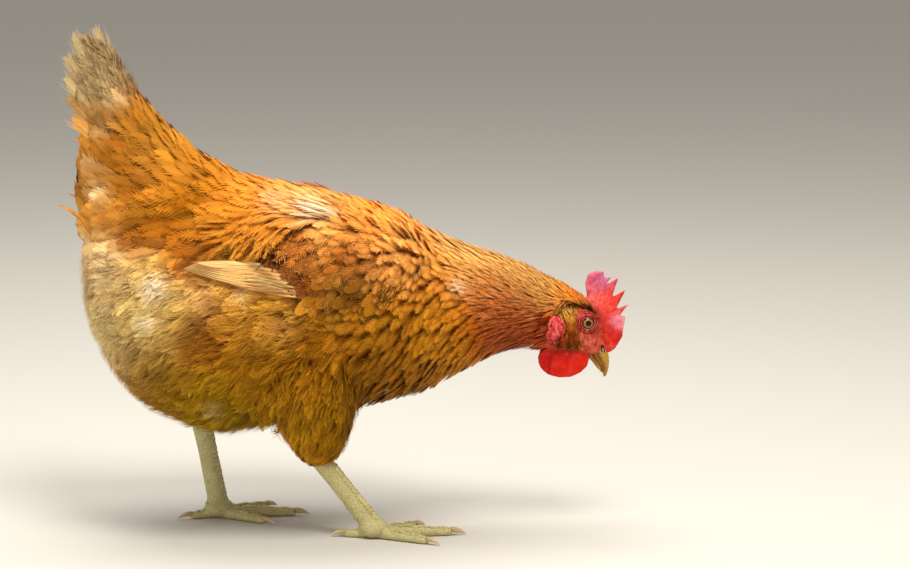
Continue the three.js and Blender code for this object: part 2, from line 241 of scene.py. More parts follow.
def points_of(piece: Piece) -> Array:
    """The piece's vertices in millimetres."""
    return read(piece.data.vertices, "co", 3, np.float32).astype(float) / MM


def normals_of(piece: Piece) -> Array:
    """The piece's vertex normals."""
    return read(piece.data.vertex_normals, "vector", 3, np.float32).astype(float)


def triangles_of(piece: Piece) -> Array:
    """The corners of the piece's triangles."""
    piece.data.calc_loop_triangles()
    return read(piece.data.loop_triangles, "vertices", 3)


def move_points(piece: Piece, points: Array) -> None:
    """Puts the piece's vertices at these millimetre points."""
    piece.data.vertices.foreach_set("co", (points * MM).astype(np.float32).ravel())
    piece.data.update()


def smooth_points(piece: Piece, rounds: int, keep: Array | None = None) -> None:
    """Evens out a mesh by moving each point towards the middle of its neighbours.

    Args:
        piece: the mesh.
        rounds: how often the points are moved.
        keep: for each point, the share of its place that it keeps.
    """
    points = points_of(piece)
    ends = read(piece.data.edges, "vertices", 2)
    a, b = ends.T
    count = np.bincount(ends.ravel(), minlength=len(points))[:, None]
    pull = PULL if keep is None else PULL * (1 - keep)[:, None]
    for _ in range(rounds):
        total = np.empty_like(points)
        for axis in range(3):
            total[:, axis] = np.bincount(a, points[b, axis], len(points)) + np.bincount(
                b, points[a, axis], len(points)
            )
        points += (total / np.maximum(count, 1) - points) * pull
    move_points(piece, points)


def copied(node: str, grown: float = 0.0) -> Piece:
    """A merged copy of a CAD node.

    Args:
        node: the node's name.
        grown: how far the copy is swollen, in millimetres.

    Returns:
        The copy, linked to the scene, with the node left as it was.
    """
    edit = bmesh.new()
    edit.from_mesh(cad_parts[node].data)
    bmesh.ops.remove_doubles(edit, verts=edit.verts, dist=MERGED * MM)
    bmesh.ops.triangulate(edit, faces=edit.faces)
    bmesh.ops.recalc_face_normals(edit, faces=edit.faces)
    edit.normal_update()
    points = np.array([v.co / MM + v.normal * grown for v in edit.verts])
    faces = np.array([[v.index for v in f.verts] for f in edit.faces])
    edit.free()
    return new_mesh(node + "_copy", points, [faces])


def joined(name: str, pieces: Sequence[Piece]) -> Piece:
    """One object holding the meshes of the pieces, which are deleted.

    Args:
        name: the new object's name.
        pieces: the meshes.

    Returns:
        The object, linked to the scene.
    """
    points, faces, offset = [], [], 0
    for piece in pieces:
        points.append(points_of(piece))
        faces.append(triangles_of(piece) + offset)
        offset += len(points[-1])
        discard(piece)
    return new_mesh(name, np.concatenate(points), [np.concatenate(faces)])


def discard(piece: Piece) -> None:
    """Deletes a helper object and its mesh.

    Args:
        piece: the object.
    """
    mesh = piece.data
    bpy.data.objects.remove(piece)
    bpy.data.meshes.remove(mesh)


def applied(piece: Piece) -> Piece:
    """Turns a piece's modifiers into plain mesh and removes them.

    Args:
        piece: the object.

    Returns:
        The same object.
    """
    graph = bpy.context.evaluated_depsgraph_get()
    mesh = bpy.data.meshes.new_from_object(piece.evaluated_get(graph), depsgraph=graph)
    old = piece.data
    piece.modifiers.clear()
    piece.data = mesh
    bpy.data.meshes.remove(old)
    mesh.name = piece.name
    return piece


def remeshed(piece: Piece, voxel: float) -> Piece:
    """One closed skin of even faces round everything in the piece.

    Args:
        piece: closed meshes that may overlap.
        voxel: the size of its faces, in millimetres.

    Returns:
        The same object with its new mesh.
    """
    remesh = piece.modifiers.new("Remesh", "REMESH")
    remesh.mode = "VOXEL"
    remesh.voxel_size = voxel * MM
    remesh.use_smooth_shade = True
    return applied(piece)


def finer_near(piece: Piece, near: Callable[[Array], Array]) -> None:
    """Divides the faces of a mesh where near(points) is true.

    Args:
        piece: the mesh.
        near: tells of each point whether it lies where the faces are divided.
    """
    edit = bmesh.new()
    edit.from_mesh(piece.data)
    chosen = near(points_of(piece))
    edit.edges.ensure_lookup_table()
    edges = [e for e in edit.edges if chosen[e.verts[0].index] and chosen[e.verts[1].index]]
    bmesh.ops.subdivide_edges(edit, edges=edges, cuts=1, use_grid_fill=True)
    edit.to_mesh(piece.data)
    edit.free()


def store(piece: Piece, name: str, values: Array) -> None:
    """Stores a number, a vector or, where there are four parts, a colour at each point.

    Args:
        piece: the mesh.
        name: the attribute's name.
        values: a number or a row for each point.
    """
    kind, field = STORED[values.shape[1] if values.ndim == 2 else 1]
    layer = piece.data.attributes.new(name, kind, "POINT")
    layer.data.foreach_set(field, values.astype(np.float32).ravel())


def paint(piece: Piece, colours: Array) -> None:
    """Stores the marking, a linear colour, at each point of a mesh."""
    store(piece, "Marking", np.column_stack([colours, np.ones(len(colours))]))


def kd_tree(points: Array) -> KDTree:
    """A tree that finds the nearest of the points.

    Args:
        points: the choice.

    Returns:
        The tree.
    """
    tree = KDTree(len(points))
    for index, point in enumerate(points.tolist()):
        tree.insert(point, index)
    tree.balance()
    return tree


def apart(points: Array, spacing: Array) -> Array:
    """Picks points so that none is nearer to another than that one's spacing.

    Args:
        points: the choice, in order of preference.
        spacing: the least distance from each, in millimetres.

    Returns:
        The numbers of the points that are kept.
    """
    tree = kd_tree(points)
    free = np.ones(len(points), bool)
    kept = []
    for index, (point, room) in enumerate(zip(points.tolist(), spacing.tolist())):
        if free[index]:
            kept.append(index)
            for _, other, _ in tree.find_range(point, room):
                free[other] = False
    return np.array(kept)


@dataclass
class Found:
    """Places found on a surface: their points, smooth normals, face numbers and corner shares."""

    points: Array
    normals: Array
    faces: Array
    shares: Array

    def chosen(self, which: Array | slice) -> "Found":
        """The places that are picked out by number or by true and false."""
        return Found(*(v[which] for v in (self.points, self.normals, self.faces, self.shares)))


class Surface:
    """A mesh that can be asked for the place nearest to a point."""

    def __init__(self, piece: Piece) -> None:
        """Reads the piece, which can be deleted afterwards.

        Args:
            piece: the mesh.
        """
        self.faces = triangles_of(piece)
        self.points = points_of(piece)
        self.normals = normals_of(piece)
        self.tree = BVHTree.FromPolygons(self.points.tolist(), self.faces.tolist())

    def nearest(self, points: Array) -> Found:
        """The places on the surface nearest to the points.

        Args:
            points: places near the surface.

        Returns:
            The places.
        """
        hits = [self.tree.find_nearest(p) for p in points.tolist()]
        faces = np.array([h[2] for h in hits])
        return self.at(np.array([h[0] for h in hits]), faces)

    def at(self, places: Array, faces: Array) -> Found:
        """Reads the smooth normals at places that lie on the given faces.

        Args:
            places: points on the surface.
            faces: the face that each lies on.

        Returns:
            The places with their normals and corner shares.
        """
        corners = self.points[self.faces[faces]]
        gaps = corners - places[:, None, :]
        areas = np.linalg.norm(np.cross(np.roll(gaps, -1, 1), np.roll(gaps, -2, 1)), axis=2)
        shares = areas / np.maximum(areas.sum(1, keepdims=True), 1e-9)
        normals = unit((self.normals[self.faces[faces]] * shares[:, :, None]).sum(1))
        return Found(places, normals, faces, shares)

    def read(self, values: Array, found: Found) -> Array:
        """Values that are given at the vertices, read at found places.

        Args:
            values: a number or a row for each vertex.
            found: places on the surface.

        Returns:
            A value for each place.
        """
        corners = values[self.faces[found.faces]]
        shares = found.shares if corners.ndim == 2 else found.shares[:, :, None]
        return (corners * shares).sum(1)

    def away(self, points: Array) -> Array:
        """How far each point is from the surface."""
        return np.array([self.tree.find_nearest(p)[3] for p in points.tolist()])

    def thickness(self, limit: float) -> Array:
        """How thick the form is at each vertex, measured inwards and capped at limit.

        Args:
            limit: the most that is measured, in millimetres.

        Returns:
            A thickness for each vertex.
        """
        out = []
        for point, normal in zip(self.points, self.normals):
            start = Vector(point - normal * TOUCHING)
            hit = self.tree.ray_cast(start, Vector(-normal), limit)
            out.append(hit[3] if hit[0] is not None else limit)
        return np.array(out)

    def middles(self) -> Found:
        """The middle of every face."""
        faces = np.arange(len(self.faces))
        return self.at(self.points[self.faces].mean(1), faces)

    def scattered(self, share: Array, spacing: Array, rng: Rng) -> Found:
        """Random places at least a spacing apart.

        Args:
            share: for each face, from 0 for none to 1 for as many as fit.
            spacing: for each face, the least distance between two places, in millimetres.
            rng: the random numbers.

        Returns:
            The places.
        """
        a, b, c = (self.points[self.faces[:, k]] for k in range(3))
        weight = np.linalg.norm(np.cross(b - a, c - a), axis=1) / 2 * share / spacing**2
        count = int(TRIES * weight.sum())
        faces = rng.choice(len(weight), count, p=weight / weight.sum())
        u, v = rng.random((2, count, 1))
        flip = u + v > 1
        u, v = np.where(flip, 1 - u, u), np.where(flip, 1 - v, v)
        places = a[faces] + (b[faces] - a[faces]) * u + (c[faces] - a[faces]) * v
        kept = apart(places, spacing[faces])
        return self.at(places[kept], faces[kept])


# ---- Markings ----

GOLD: Colour = (0.72, 0.28, 0.02)
RUSSET: Colour = (0.46, 0.11, 0.008)
OLIVE: Colour = (0.36, 0.17, 0.015)
CREAM: Colour = (0.9, 0.66, 0.36)
SNOW: Colour = (0.92, 0.8, 0.6)
SOOT: Colour = (0.06, 0.012, 0.003)
FACE_RED: Colour = (0.6, 0.07, 0.03)
LEG_PALE: Colour = (0.52, 0.46, 0.2)


@dataclass(frozen=True)
class Patch:
    """A soft patch of colour.

    place is its middle in the side view, reach how far it spreads, and share how much it counts
    against its neighbours or, on a spot, how much it covers.
    """

    place: Pair
    reach: float
    colour: Colour
    share: float = 1.0

    def hold(self, points: Array) -> Array:
        """How strongly each point belongs to the patch, from 0 to its share.

        Args:
            points: places on the hen, in millimetres.

        Returns:
            A share for each point.
        """
        x, height = shown(points)
        away = np.hypot(x - self.place[0], height - self.place[1])
        return self.share * np.exp(-((away / self.reach) ** 2))


def patches(*rows: tuple[float, ...]) -> tuple[Patch, ...]:
    """Patches from rows of X, height, reach, red, green, blue and, if it isn't one, the share."""
    return tuple(Patch(row[:2], row[2], row[3:6], *row[6:]) for row in rows)


@dataclass(frozen=True)
class Markings:
    """The hen's colours, the same on the skin and on the coat, with some painted shade laid into
    the patches.
    """

    ground: Colour = GOLD
    ground_share: float = 0.12
    face_share: float = 0.05
    broad: tuple[Patch, ...] = patches(
        (168, 170, 14, 0.95, 0.27, 0.012), (158, 158, 5, 0.46, 0.24, 0.03, 3),
        (160, 149, 5, 0.42, 0.085, 0.005, 3), (162, 141, 5, 0.28, 0.049, 0.003, 3),
        (120, 192, 22, 0.97, 0.54, 0.12), (85, 205, 20, 0.97, 0.48, 0.11),
        (108, 168, 20, 0.46, 0.055, 0.002, 1.5), (82, 178, 18, 0.8, 0.26, 0.03),
        (120, 136, 18, 0.36, 0.033, 0.003, 1.4), (98, 146, 16, 0.42, 0.05, 0.002),
        (146, 140, 12, 0.82, 0.073, 0.008), (60, 150, 34, 0.58, 0.22, 0.01),
        (30, 112, 34, 0.19, 0.072, 0.001), (38, 204, 22, 1, 0.43, 0.09, 2.6),
        (12, 222, 22, 0.89, 0.28, 0.022), (8, 196, 18, 0.18, 0.03, 0.001, 1.6),
        (-14, 180, 12, 0.3, 0.085, 0.003, 1.6), (-48, 190, 9, 0.12, 0.012, 0.001, 6),
        (-31, 180, 9, 0.11, 0.012, 0.001, 4.5), (4, 172, 11, 0.1, 0.033, 0.003, 2.2),
        (10, 160, 16, 0.43, 0.16, 0.005), (-20, 245, 28, 0.93, 0.47, 0.12),
        (-60, 245, 30, 0.9, 0.3, 0.036), (-60, 215, 30, 0.56, 0.19, 0.009),
        # (-103, 201) is painted shadow: a dark russet band below the saddle fringe.
        (-103, 201, 10, 0.2, 0.04, 0.001, 3), (-120, 216, 10, 0.36, 0.09, 0.001, 2),
        (-30, 205, 9, 0.42, 0.1, 0.003, 2.5), (-105, 235, 34, 0.48, 0.16, 0.002),
        (-150, 215, 10, 0.28, 0.07, 0.001, 2.5), (-150, 249, 7, 0.26, 0.07, 0.001, 2.5),
        # The patches from (-130, 275) to (-180, 334) are the tail's own colour darkened by painted
        # shade, for a tail that lies in shadow.
        (-130, 275, 30, 0.5, 0.2, 0.02), (-160, 263, 14, 0.24, 0.075, 0.002, 1.5),
        (-150, 289, 13, 0.27, 0.1, 0.007, 1.4), (-168, 301, 9, 0.2, 0.085, 0.012, 1.5),
        (-180, 334, 20, 0.42, 0.33, 0.17, 2.2), (-188, 252, 9, 0.3, 0.11, 0.008, 1.5),
        (-172, 232, 16, 0.66, 0.29, 0.04), (-182, 182, 26, 0.74, 0.58, 0.3),
        (-178, 140, 30, 0.97, 0.78, 0.37), (-140, 110, 30, 0.34, 0.19, 0.008),
        (-140, 160, 26, 0.96, 0.7, 0.2), (-72, 165, 28, 0.96, 0.5, 0.07),
        (-58, 150, 14, 0.98, 0.48, 0.035, 2), (-60, 125, 34, 0.45, 0.2, 0.002),
        (-100, 140, 15, 0.34, 0.1, 0.002, 1.6), (-20, 130, 24, 0.36, 0.13, 0.003),
        (-24, 80, 28, 0.43, 0.22, 0.003), (-90, 85, 24, 0.41, 0.29, 0.003),
    )
    spots: tuple[Patch, ...] = patches(
        (-27, 233, 9, *SNOW, 0.85), (-134, 175, 10, *SNOW, 0.85), (-140, 151, 7, *SNOW, 0.7),
        (-72, 171, 7, *CREAM, 0.5), (-94, 88, 6, *CREAM, 0.35),
        (-100, 170, 14, 0.86, 0.5, 0.22, 0.5), (-45, 150, 12, 0.88, 0.52, 0.2, 0.35),
        (79, 178, 6, *CREAM, 0.8), (-50, 240, 8, *CREAM, 0.5), (-175, 245, 7, *CREAM, 0.75),
        (-184, 264, 6, *CREAM, 0.4), (-166, 310, 6, *CREAM, 0.5), (-174, 290, 6, *CREAM, 0.6),
        (-162, 284, 7, *RUSSET, 0.5), (-118, 190, 9, *RUSSET, 0.65), (-5, 152, 8, *OLIVE, 0.7),
        (-9, 175, 8, *OLIVE, 0.6),
    )

    bare: tuple[Patch, ...] = patches(
        (176, 184, 10, 0.6, 0.11, 0.18, 1.6), (184, 181, 6, 0.62, 0.19, 0.41, 1.2),
        (189, 168, 11, 0.83, 0.045, 0.031, 1.4), (180, 170, 7, 0.9, 0.19, 0.16),
        (192, 140, 8, 0.63, 0.013, 0.003, 2), (197, 152, 5, 0.87, 0.29, 0.38, 1.8),
        (199, 162, 6, 0.52, 0.055, 0.042, 0.8), (173, 151, 9, 0.32, 0.013, 0.005, 1.3),
        (166, 158, 4, 0.76, 0.055, 0.076, 0.8), (173, 140, 7, 0.72, 0.13, 0.071, 1.4),
        (180, 143, 5, 0.42, 0.031, 0.006), (182, 134, 5, 0.68, 0.12, 0.054, 1.2),
        (155, 120, 12, 0.62, 0.009, 0.001, 2.4), (168, 124, 6, 0.64, 0.015, 0.004, 1.2),
        (141, 122, 6, 0.48, 0.003, 0.003, 1.2), (156, 135, 8, 0.18, 0.003, 0.003, 1.6),
        (150, 146, 8, 0.78, 0.08, 0.085, 2.6),
    )

    # marks: the near-black patches along the brow and round the ear lobe are partly dark feathers
    # and skin, partly painted shade under the crown's edge and round the lobe; the golden and brown
    # ones colour the ear tuft and cheek.
    marks: tuple[Patch, ...] = patches(
        (154.5, 163.8, 2.2, *SOOT, 0.9), (159, 164.3, 2.2, *SOOT, 1.0),
        (163.8, 163.8, 2.4, *SOOT, 1.0), (169, 163.2, 2.8, *SOOT, 1.0), (174, 162, 2.6, *SOOT, 1.0),
        (178.4, 158.7, 2.3, *SOOT, 0.95), (181, 153.5, 2.0, *SOOT, 0.85),
        (152.6, 159, 2.2, *SOOT, 0.85), (157.6, 159.6, 2.4, 0.66, 0.4, 0.07, 0.85),
        (160.5, 153, 2, 0.56, 0.3, 0.04, 0.7), (164.6, 153, 1.5, *SOOT, 0.7),
        (165, 149, 2.4, 0.38, 0.091, 0.01, 0.6), (167, 143, 3.5, 0.35, 0.092, 0.008, 0.5),
        (152, 134.5, 3.2, *SOOT, 0.95), (159, 134, 3.2, *SOOT, 0.95), (165, 133, 2.8, *SOOT, 0.8),
        (141.5, 150, 3.5, *SOOT, 0.75), (140, 141, 3.5, *SOOT, 0.6),
    )
    # pale_skin: laid on ridges and lid margins, partly pale skin and partly painted highlight.
    pale_skin: Colour = (0.92, 0.5, 0.44)
    flight: Colour = (0.95, 0.58, 0.22)
    leg: Colour = LEG_PALE
    # nostril: the rim, the pit and the flap; the pit's near-black is painted shade in the nostril's
    # hollow.
    nostril: tuple[Colour, ...] = (
        (0.78, 0.5, 0.4), (0.06, 0.01, 0.008), (0.6, 0.45, 0.34),
    )

    @staticmethod
    def spread(parts: tuple[Patch, ...], points: Array, ground: Colour, share: float) -> Array:
        """Blends the patches over a ground colour, each by how strongly it holds a point.

        Args:
            parts: the patches.
            points: places on the hen, in millimetres.
            ground: the colour where no patch reaches.
            share: how much the ground counts.

        Returns:
            A colour for each point.
        """
        total = np.tile(np.array(ground) * share, (len(points), 1))
        weight = np.full(len(points), share)
        for part in parts:
            held = part.hold(points)
            total += held[:, None] * part.colour
            weight += held
        return total / weight[:, None]

    @staticmethod
    def spotted(colour: Array, points: Array, spots: tuple[Patch, ...]) -> Array:
        """Lays spots over a colour.

        Args:
            colour: the colour at each point.
            points: places on the hen, in millimetres.
            spots: the spots.

        Returns:
            The colour with the spots.
        """
        for spot in spots:
            colour = mix(colour, np.array(spot.colour), spot.hold(points)[:, None])
        return colour

    def plumage(self, points: Array) -> Array:
        """The feathers' colour at each point."""
        colour = self.spread(self.broad, points, self.ground, self.ground_share)
        return self.spotted(colour, points, self.spots + self.marks)

    def red_skin(self, points: Array) -> Array:
        """The bare skin's colour at each point of the comb, face, wattles and ear lobes."""
        colour = self.spread(self.bare, points, FACE_RED, self.face_share)
        return self.spotted(colour, points, self.marks)


# ---- Finishes ----


def add_node(tree: bpy.types.NodeTree, kind: str, inputs: dict, settings: dict) -> bpy.types.Node:
    """Adds a node to a tree.

    Args:
        tree: the node tree.
        kind: the node's type.
        inputs: values or sockets for its inputs, by name or place.
        settings: its own properties.

    Returns:
        The node.
    """
    node = tree.nodes.new(kind)
    for name, value in settings.items():
        setattr(node, name, value)
    for name, value in inputs.items():
        if isinstance(value, Socket):
            tree.links.new(value, node.inputs[name])
        else:
            node.inputs[name].default_value = value
    return node


class Tree:
    """A material being put together."""

    def __init__(self, name: str) -> None:
        """Starts a material with one Principled shader.

        Args:
            name: the material's name.
        """
        self.material = bpy.data.materials.new(name)
        self.material.use_nodes = True
        self.shader = self.material.node_tree.nodes["Principled BSDF"]

    def node(self, kind: str, inputs: dict | None = None, **settings: object) -> bpy.types.Node:
        """Adds a shader node."""
        return add_node(self.material.node_tree, "ShaderNode" + kind, inputs or {}, settings)

    def attribute(self, name: str, output: str) -> Socket:
        """Reads an attribute of the mesh."""
        return self.node("Attribute", attribute_name=name).outputs[output]

    def place(self) -> Socket:
        """The place on the hen, in metres."""
        return self.node("TexCoord").outputs["Object"]

    def math(self, kind: str, a: Socket | float, b: Socket | float = 0.0) -> Socket:
        """One step of arithmetic."""
        return self.node("Math", {0: a, 1: b}, operation=kind).outputs[0]

    def noise(self, at: Socket, scale: float, detail: float = 3, rough: float = 0.55) -> Socket:
        """Soft noise from 0 to 1."""
        inputs = {"Vector": at, "Scale": scale, "Detail": detail, "Roughness": rough}
        return self.node("TexNoise", inputs).outputs[0]

    def cells(self, at: Socket, scale: float, feature: str) -> Socket:
        """A pattern of cells, as a distance."""
        node = self.node("TexVoronoi", {"Vector": at, "Scale": scale}, feature=feature)
        return node.outputs["Distance"]

    def ranged(self, value: Socket, low: float, high: float, start: float, end: float) -> Socket:
        """The value moved from low..high to start..end, held at the ends."""
        inputs = {"Value": value, "From Min": low, "From Max": high, "To Min": start, "To Max": end}
        return self.node("MapRange", inputs).outputs[0]

    def blend(self, a: Tint, b: Tint, share: Socket | float, kind: str = "MIX") -> Socket:
        """Two colours mixed.

        Args:
            a: the first colour.
            b: the second.
            share: how much of the second.
            kind: how they mix.

        Returns:
            The mixed colour.
        """
        first, second = (c if isinstance(c, Socket) else (*c, 1.0) for c in (a, b))
        node = self.node("Mix", {0: share, 6: first, 7: second}, data_type="RGBA", blend_type=kind)
        return node.outputs[2]

    def over(
        self, colour: Socket, tint: Tint, value: Socket, low: float, high: float, most: float
    ) -> Socket:
        """Lays a tint on, from none where the value is low to a share of most where it is high."""
        return self.blend(colour, tint, self.ranged(value, low, high, 0.0, most))

    def bump(self, height: Socket, depth: float, strength: float = 1.0) -> Socket:
        """A bumped normal; depth is in millimetres."""
        inputs = {"Height": height, "Distance": depth * MM, "Strength": strength}
        return self.node("Bump", inputs).outputs["Normal"]

    def finish(self, colour: Socket, normal: Socket | None, **fixed: float) -> Material:
        """Wires the shader and returns the material.

        Args:
            colour: the base colour.
            normal: the bumped normal.
            fixed: the shader's other inputs, with _ for a space.

        Returns:
            The material.
        """
        self.material.node_tree.links.new(colour, self.shader.inputs["Base Color"])
        if normal is not None:
            self.material.node_tree.links.new(normal, self.shader.inputs["Normal"])
        for name, value in fixed.items():
            self.shader.inputs[name.replace("_", " ")].default_value = value
        return self.material


@dataclass(frozen=True)
class FeatherFinish:
    """Feathers, striped along their barbs.

    The mesh carries Vane: how far along the feather a barb sits, how far out along the barb, and
    a number that is the feather's own.
    """

    name: str
    barbs: float = 34.0
    stripe: float = 0.6
    shaft: float = 0.25
    edge: float = 0.22
    # base: how much painted shade darkens each feather towards its base.
    base: float = 0.5
    # gleam: how strongly the rim colour is laid on, as pale fringe and painted highlight.
    gleam: float = 0.3
    roughness: float = 0.5
    # deep: the colour multiplied in for the dark barb stripes and for the painted shade at each
    # feather's base.
    deep: Colour = (0.34, 0.17, 0.1)
    rim: Colour = (1.0, 0.5, 0.07)

    def material(self) -> Material:
        """The feathers' material.

        Returns:
            The material.
        """
        tree = Tree(self.name)
        marking = tree.attribute("Marking", "Color")
        vane = tree.node("SeparateXYZ", {0: tree.attribute("Vane", "Vector")})
        along, out, own = vane.outputs
        seed = tree.math("MULTIPLY", own, 71.0)
        far = tree.math("MULTIPLY", out, 1.6)
        at = tree.node(
            "CombineXYZ", {0: tree.math("MULTIPLY", along, self.barbs), 1: far, 2: seed}
        ).outputs[0]
        stripes = tree.noise(at, 1.0, 4, 0.7)
        dark = tree.blend(marking, self.deep, 1.0, "MULTIPLY")
        # shine and pale: the rim colour, mixed in more where the marking is bright, is laid on the
        # stripes, edges and shaft below; pale rims are partly the feathers' own pale fringes and
        # partly painted highlight.
        shine = tree.ranged(marking, 0.03, 0.28, 0.2 * self.gleam, self.gleam)
        pale = tree.blend(marking, self.rim, shine)
        colour = tree.blend(marking, dark, tree.ranged(stripes, 0.52, 0.3, 0.0, self.stripe))
        colour = tree.over(colour, pale, stripes, 0.52, 0.7, self.stripe)
        # Painted shade: each feather darkens towards the deep colour near its base, where it lies
        # under the feathers above it.
        colour = tree.blend(colour, dark, tree.ranged(along, 0.0, 0.6, self.base, 0.0))
        colour = tree.over(colour, pale, out, 0.7, 1.0, self.edge * 2)
        colour = tree.blend(colour, pale, tree.ranged(out, 0.0, 0.1, self.shaft * 2, 0.0))
        return tree.finish(
            colour, tree.bump(stripes, 0.3, 0.6), Roughness=self.roughness, Specular_IOR_Level=0.04
        )


@dataclass(frozen=True)
class HideFinish:
    """The downy hide under the feathers, darkened by painted shade."""

    name: str = "downy_hide"
    hollow: Colour = (0.5, 0.28, 0.16)
    raised: Colour = (0.8, 0.56, 0.36)

    def material(self) -> Material:
        """The hide's material.

        Returns:
            The material.
        """
        tree = Tree(self.name)
        down = tree.noise(tree.place(), 900.0, 4, 0.7)
        pale = tree.ranged(down, 0.35, 0.65, 0.0, 1.0)
        # hollow and raised are multiplied into the marking: painted shade for the depth between the
        # feathers, darkest in the noise's hollows.
        shade = tree.blend(self.hollow, self.raised, pale)
        colour = tree.blend(tree.attribute("Marking", "Color"), shade, 1.0, "MULTIPLY")
        return tree.finish(colour, tree.bump(down, 1.0), Roughness=0.9, Specular_IOR_Level=0.1)


@dataclass(frozen=True)
class BareSkinFinish:
    """Bare red skin: fine grains, soft mottling and a waxy shine."""

    name: str = "bare_red_skin"
    grain: float = 950.0

    def material(self) -> Material:
        """The red skin's material.

        Returns:
            The material.
        """
        tree = Tree(self.name)
        at = tree.place()
        grains = tree.cells(at, self.grain, "SMOOTH_F1")
        mottle = tree.noise(at, 260.0, 5, 0.6)
        fine = tree.noise(at, 1500.0, 3, 0.6)
        colour = tree.attribute("Marking", "Color")
        colour = tree.over(colour, (0.95, 0.25, 0.18), mottle, 0.52, 0.78, 0.12)
        colour = tree.over(colour, (0.3, 0.008, 0.006), mottle, 0.48, 0.25, 0.4)
        colour = tree.over(colour, (0.28, 0.01, 0.008), grains, 0.35, 0.8, 0.25)
        height = tree.math("SUBTRACT", tree.math("MULTIPLY", fine, 0.35), grains)
        return tree.finish(
            colour,
            tree.bump(height, 0.35, 0.7),
            Roughness=0.4,
            Subsurface_Weight=0.08,
            Subsurface_Scale=0.002,
            Specular_IOR_Level=0.12,
        )


@dataclass(frozen=True)
class LegFinish:
    """Leg skin with small flat scales, brown mottling, and darker lines between the scales."""

    name: str = "leg_skin"
    scales: float = 480.0
    crease: Colour = (0.16, 0.11, 0.05)

    def material(self) -> Material:
        """The leg skin's material.

        Returns:
            The material.
        """
        tree = Tree(self.name)
        at = tree.place()
        warp = tree.noise(at, 120.0, 3)
        edges = tree.cells(at, self.scales, "DISTANCE_TO_EDGE")
        dust = tree.noise(at, 150.0, 5, 0.7)
        colour = tree.attribute("Marking", "Color")
        colour = tree.over(colour, (0.58, 0.56, 0.3), warp, 0.45, 0.7, 0.5)
        colour = tree.over(colour, (0.36, 0.24, 0.1), dust, 0.52, 0.75, 0.5)
        colour = tree.over(colour, self.crease, edges, 0.1, 0.0, 0.5)
        height = tree.ranged(edges, 0.0, 0.16, 0.0, 1.0)
        return tree.finish(colour, tree.bump(height, 0.3, 0.8), Roughness=0.55)


@dataclass(frozen=True)
class HornFinish:
    """Bill and claw horn with fine growth lines across it."""

    name: str = "horn"

    def material(self) -> Material:
        """The horn's material; Growth tells how far along the horn a point lies.

        Returns:
            The material.
        """
        tree = Tree(self.name)
        cloud = tree.noise(tree.place(), 420.0, 4, 0.6)
        growth = tree.math("MULTIPLY", tree.attribute("Growth", "Fac"), 24.0)
        lines = tree.noise(tree.node("CombineXYZ", {0: growth, 1: cloud}).outputs[0], 1.0, 3)
        colour = tree.attribute("Marking", "Color")
        colour = tree.over(colour, (0.8, 0.55, 0.2), cloud, 0.5, 0.75, 0.15)
        colour = tree.over(colour, (0.08, 0.03, 0.008), lines, 0.52, 0.8, 0.4)
        normal = tree.bump(lines, 0.12, 0.5)
        shine = {"Specular_IOR_Level": 0.3, "Coat_Weight": 0.1, "Coat_Roughness": 0.25}
        return tree.finish(colour, normal, Roughness=0.34, **shine)


@dataclass(frozen=True)
class EyeFinish:
    """A wet eye: dark pupil, orange-brown iris with fine rays and a dark rim."""

    name: str = "wet_eye"
    pupil: float = 2.15
    iris: float = 3.6
    inner: Colour = (0.36, 0.16, 0.04)
    outer: Colour = (0.2, 0.055, 0.01)
    black: Colour = (0.004, 0.002, 0.002)

    def material(self) -> Material:
        """The eye's material, which reads Gaze: a direction round the axis, and millimetres out.

        Returns:
            The material.
        """
        tree = Tree(self.name)
        gaze = tree.attribute("Gaze", "Vector")
        away = tree.node("SeparateXYZ", {0: gaze}).outputs[2]
        rays = tree.noise(gaze, 7.0, 4, 0.7)
        outwards = tree.ranged(away, self.pupil, self.iris, 0.0, 1.0)
        colour = tree.blend(self.inner, self.outer, outwards)
        colour = tree.over(colour, (0.5, 0.26, 0.07), rays, 0.5, 0.75, 0.5)
        colour = tree.over(colour, self.black, away, self.pupil + 0.12, self.pupil - 0.12, 1.0)
        colour = tree.over(colour, self.black, away, self.iris - 0.35, self.iris + 0.2, 0.95)
        shine = {"Specular_IOR_Level": 0.2, "Coat_Weight": 0.15, "Coat_Roughness": 0.02}
        return tree.finish(colour, None, Roughness=0.1, **shine)


# ---- Skin ----


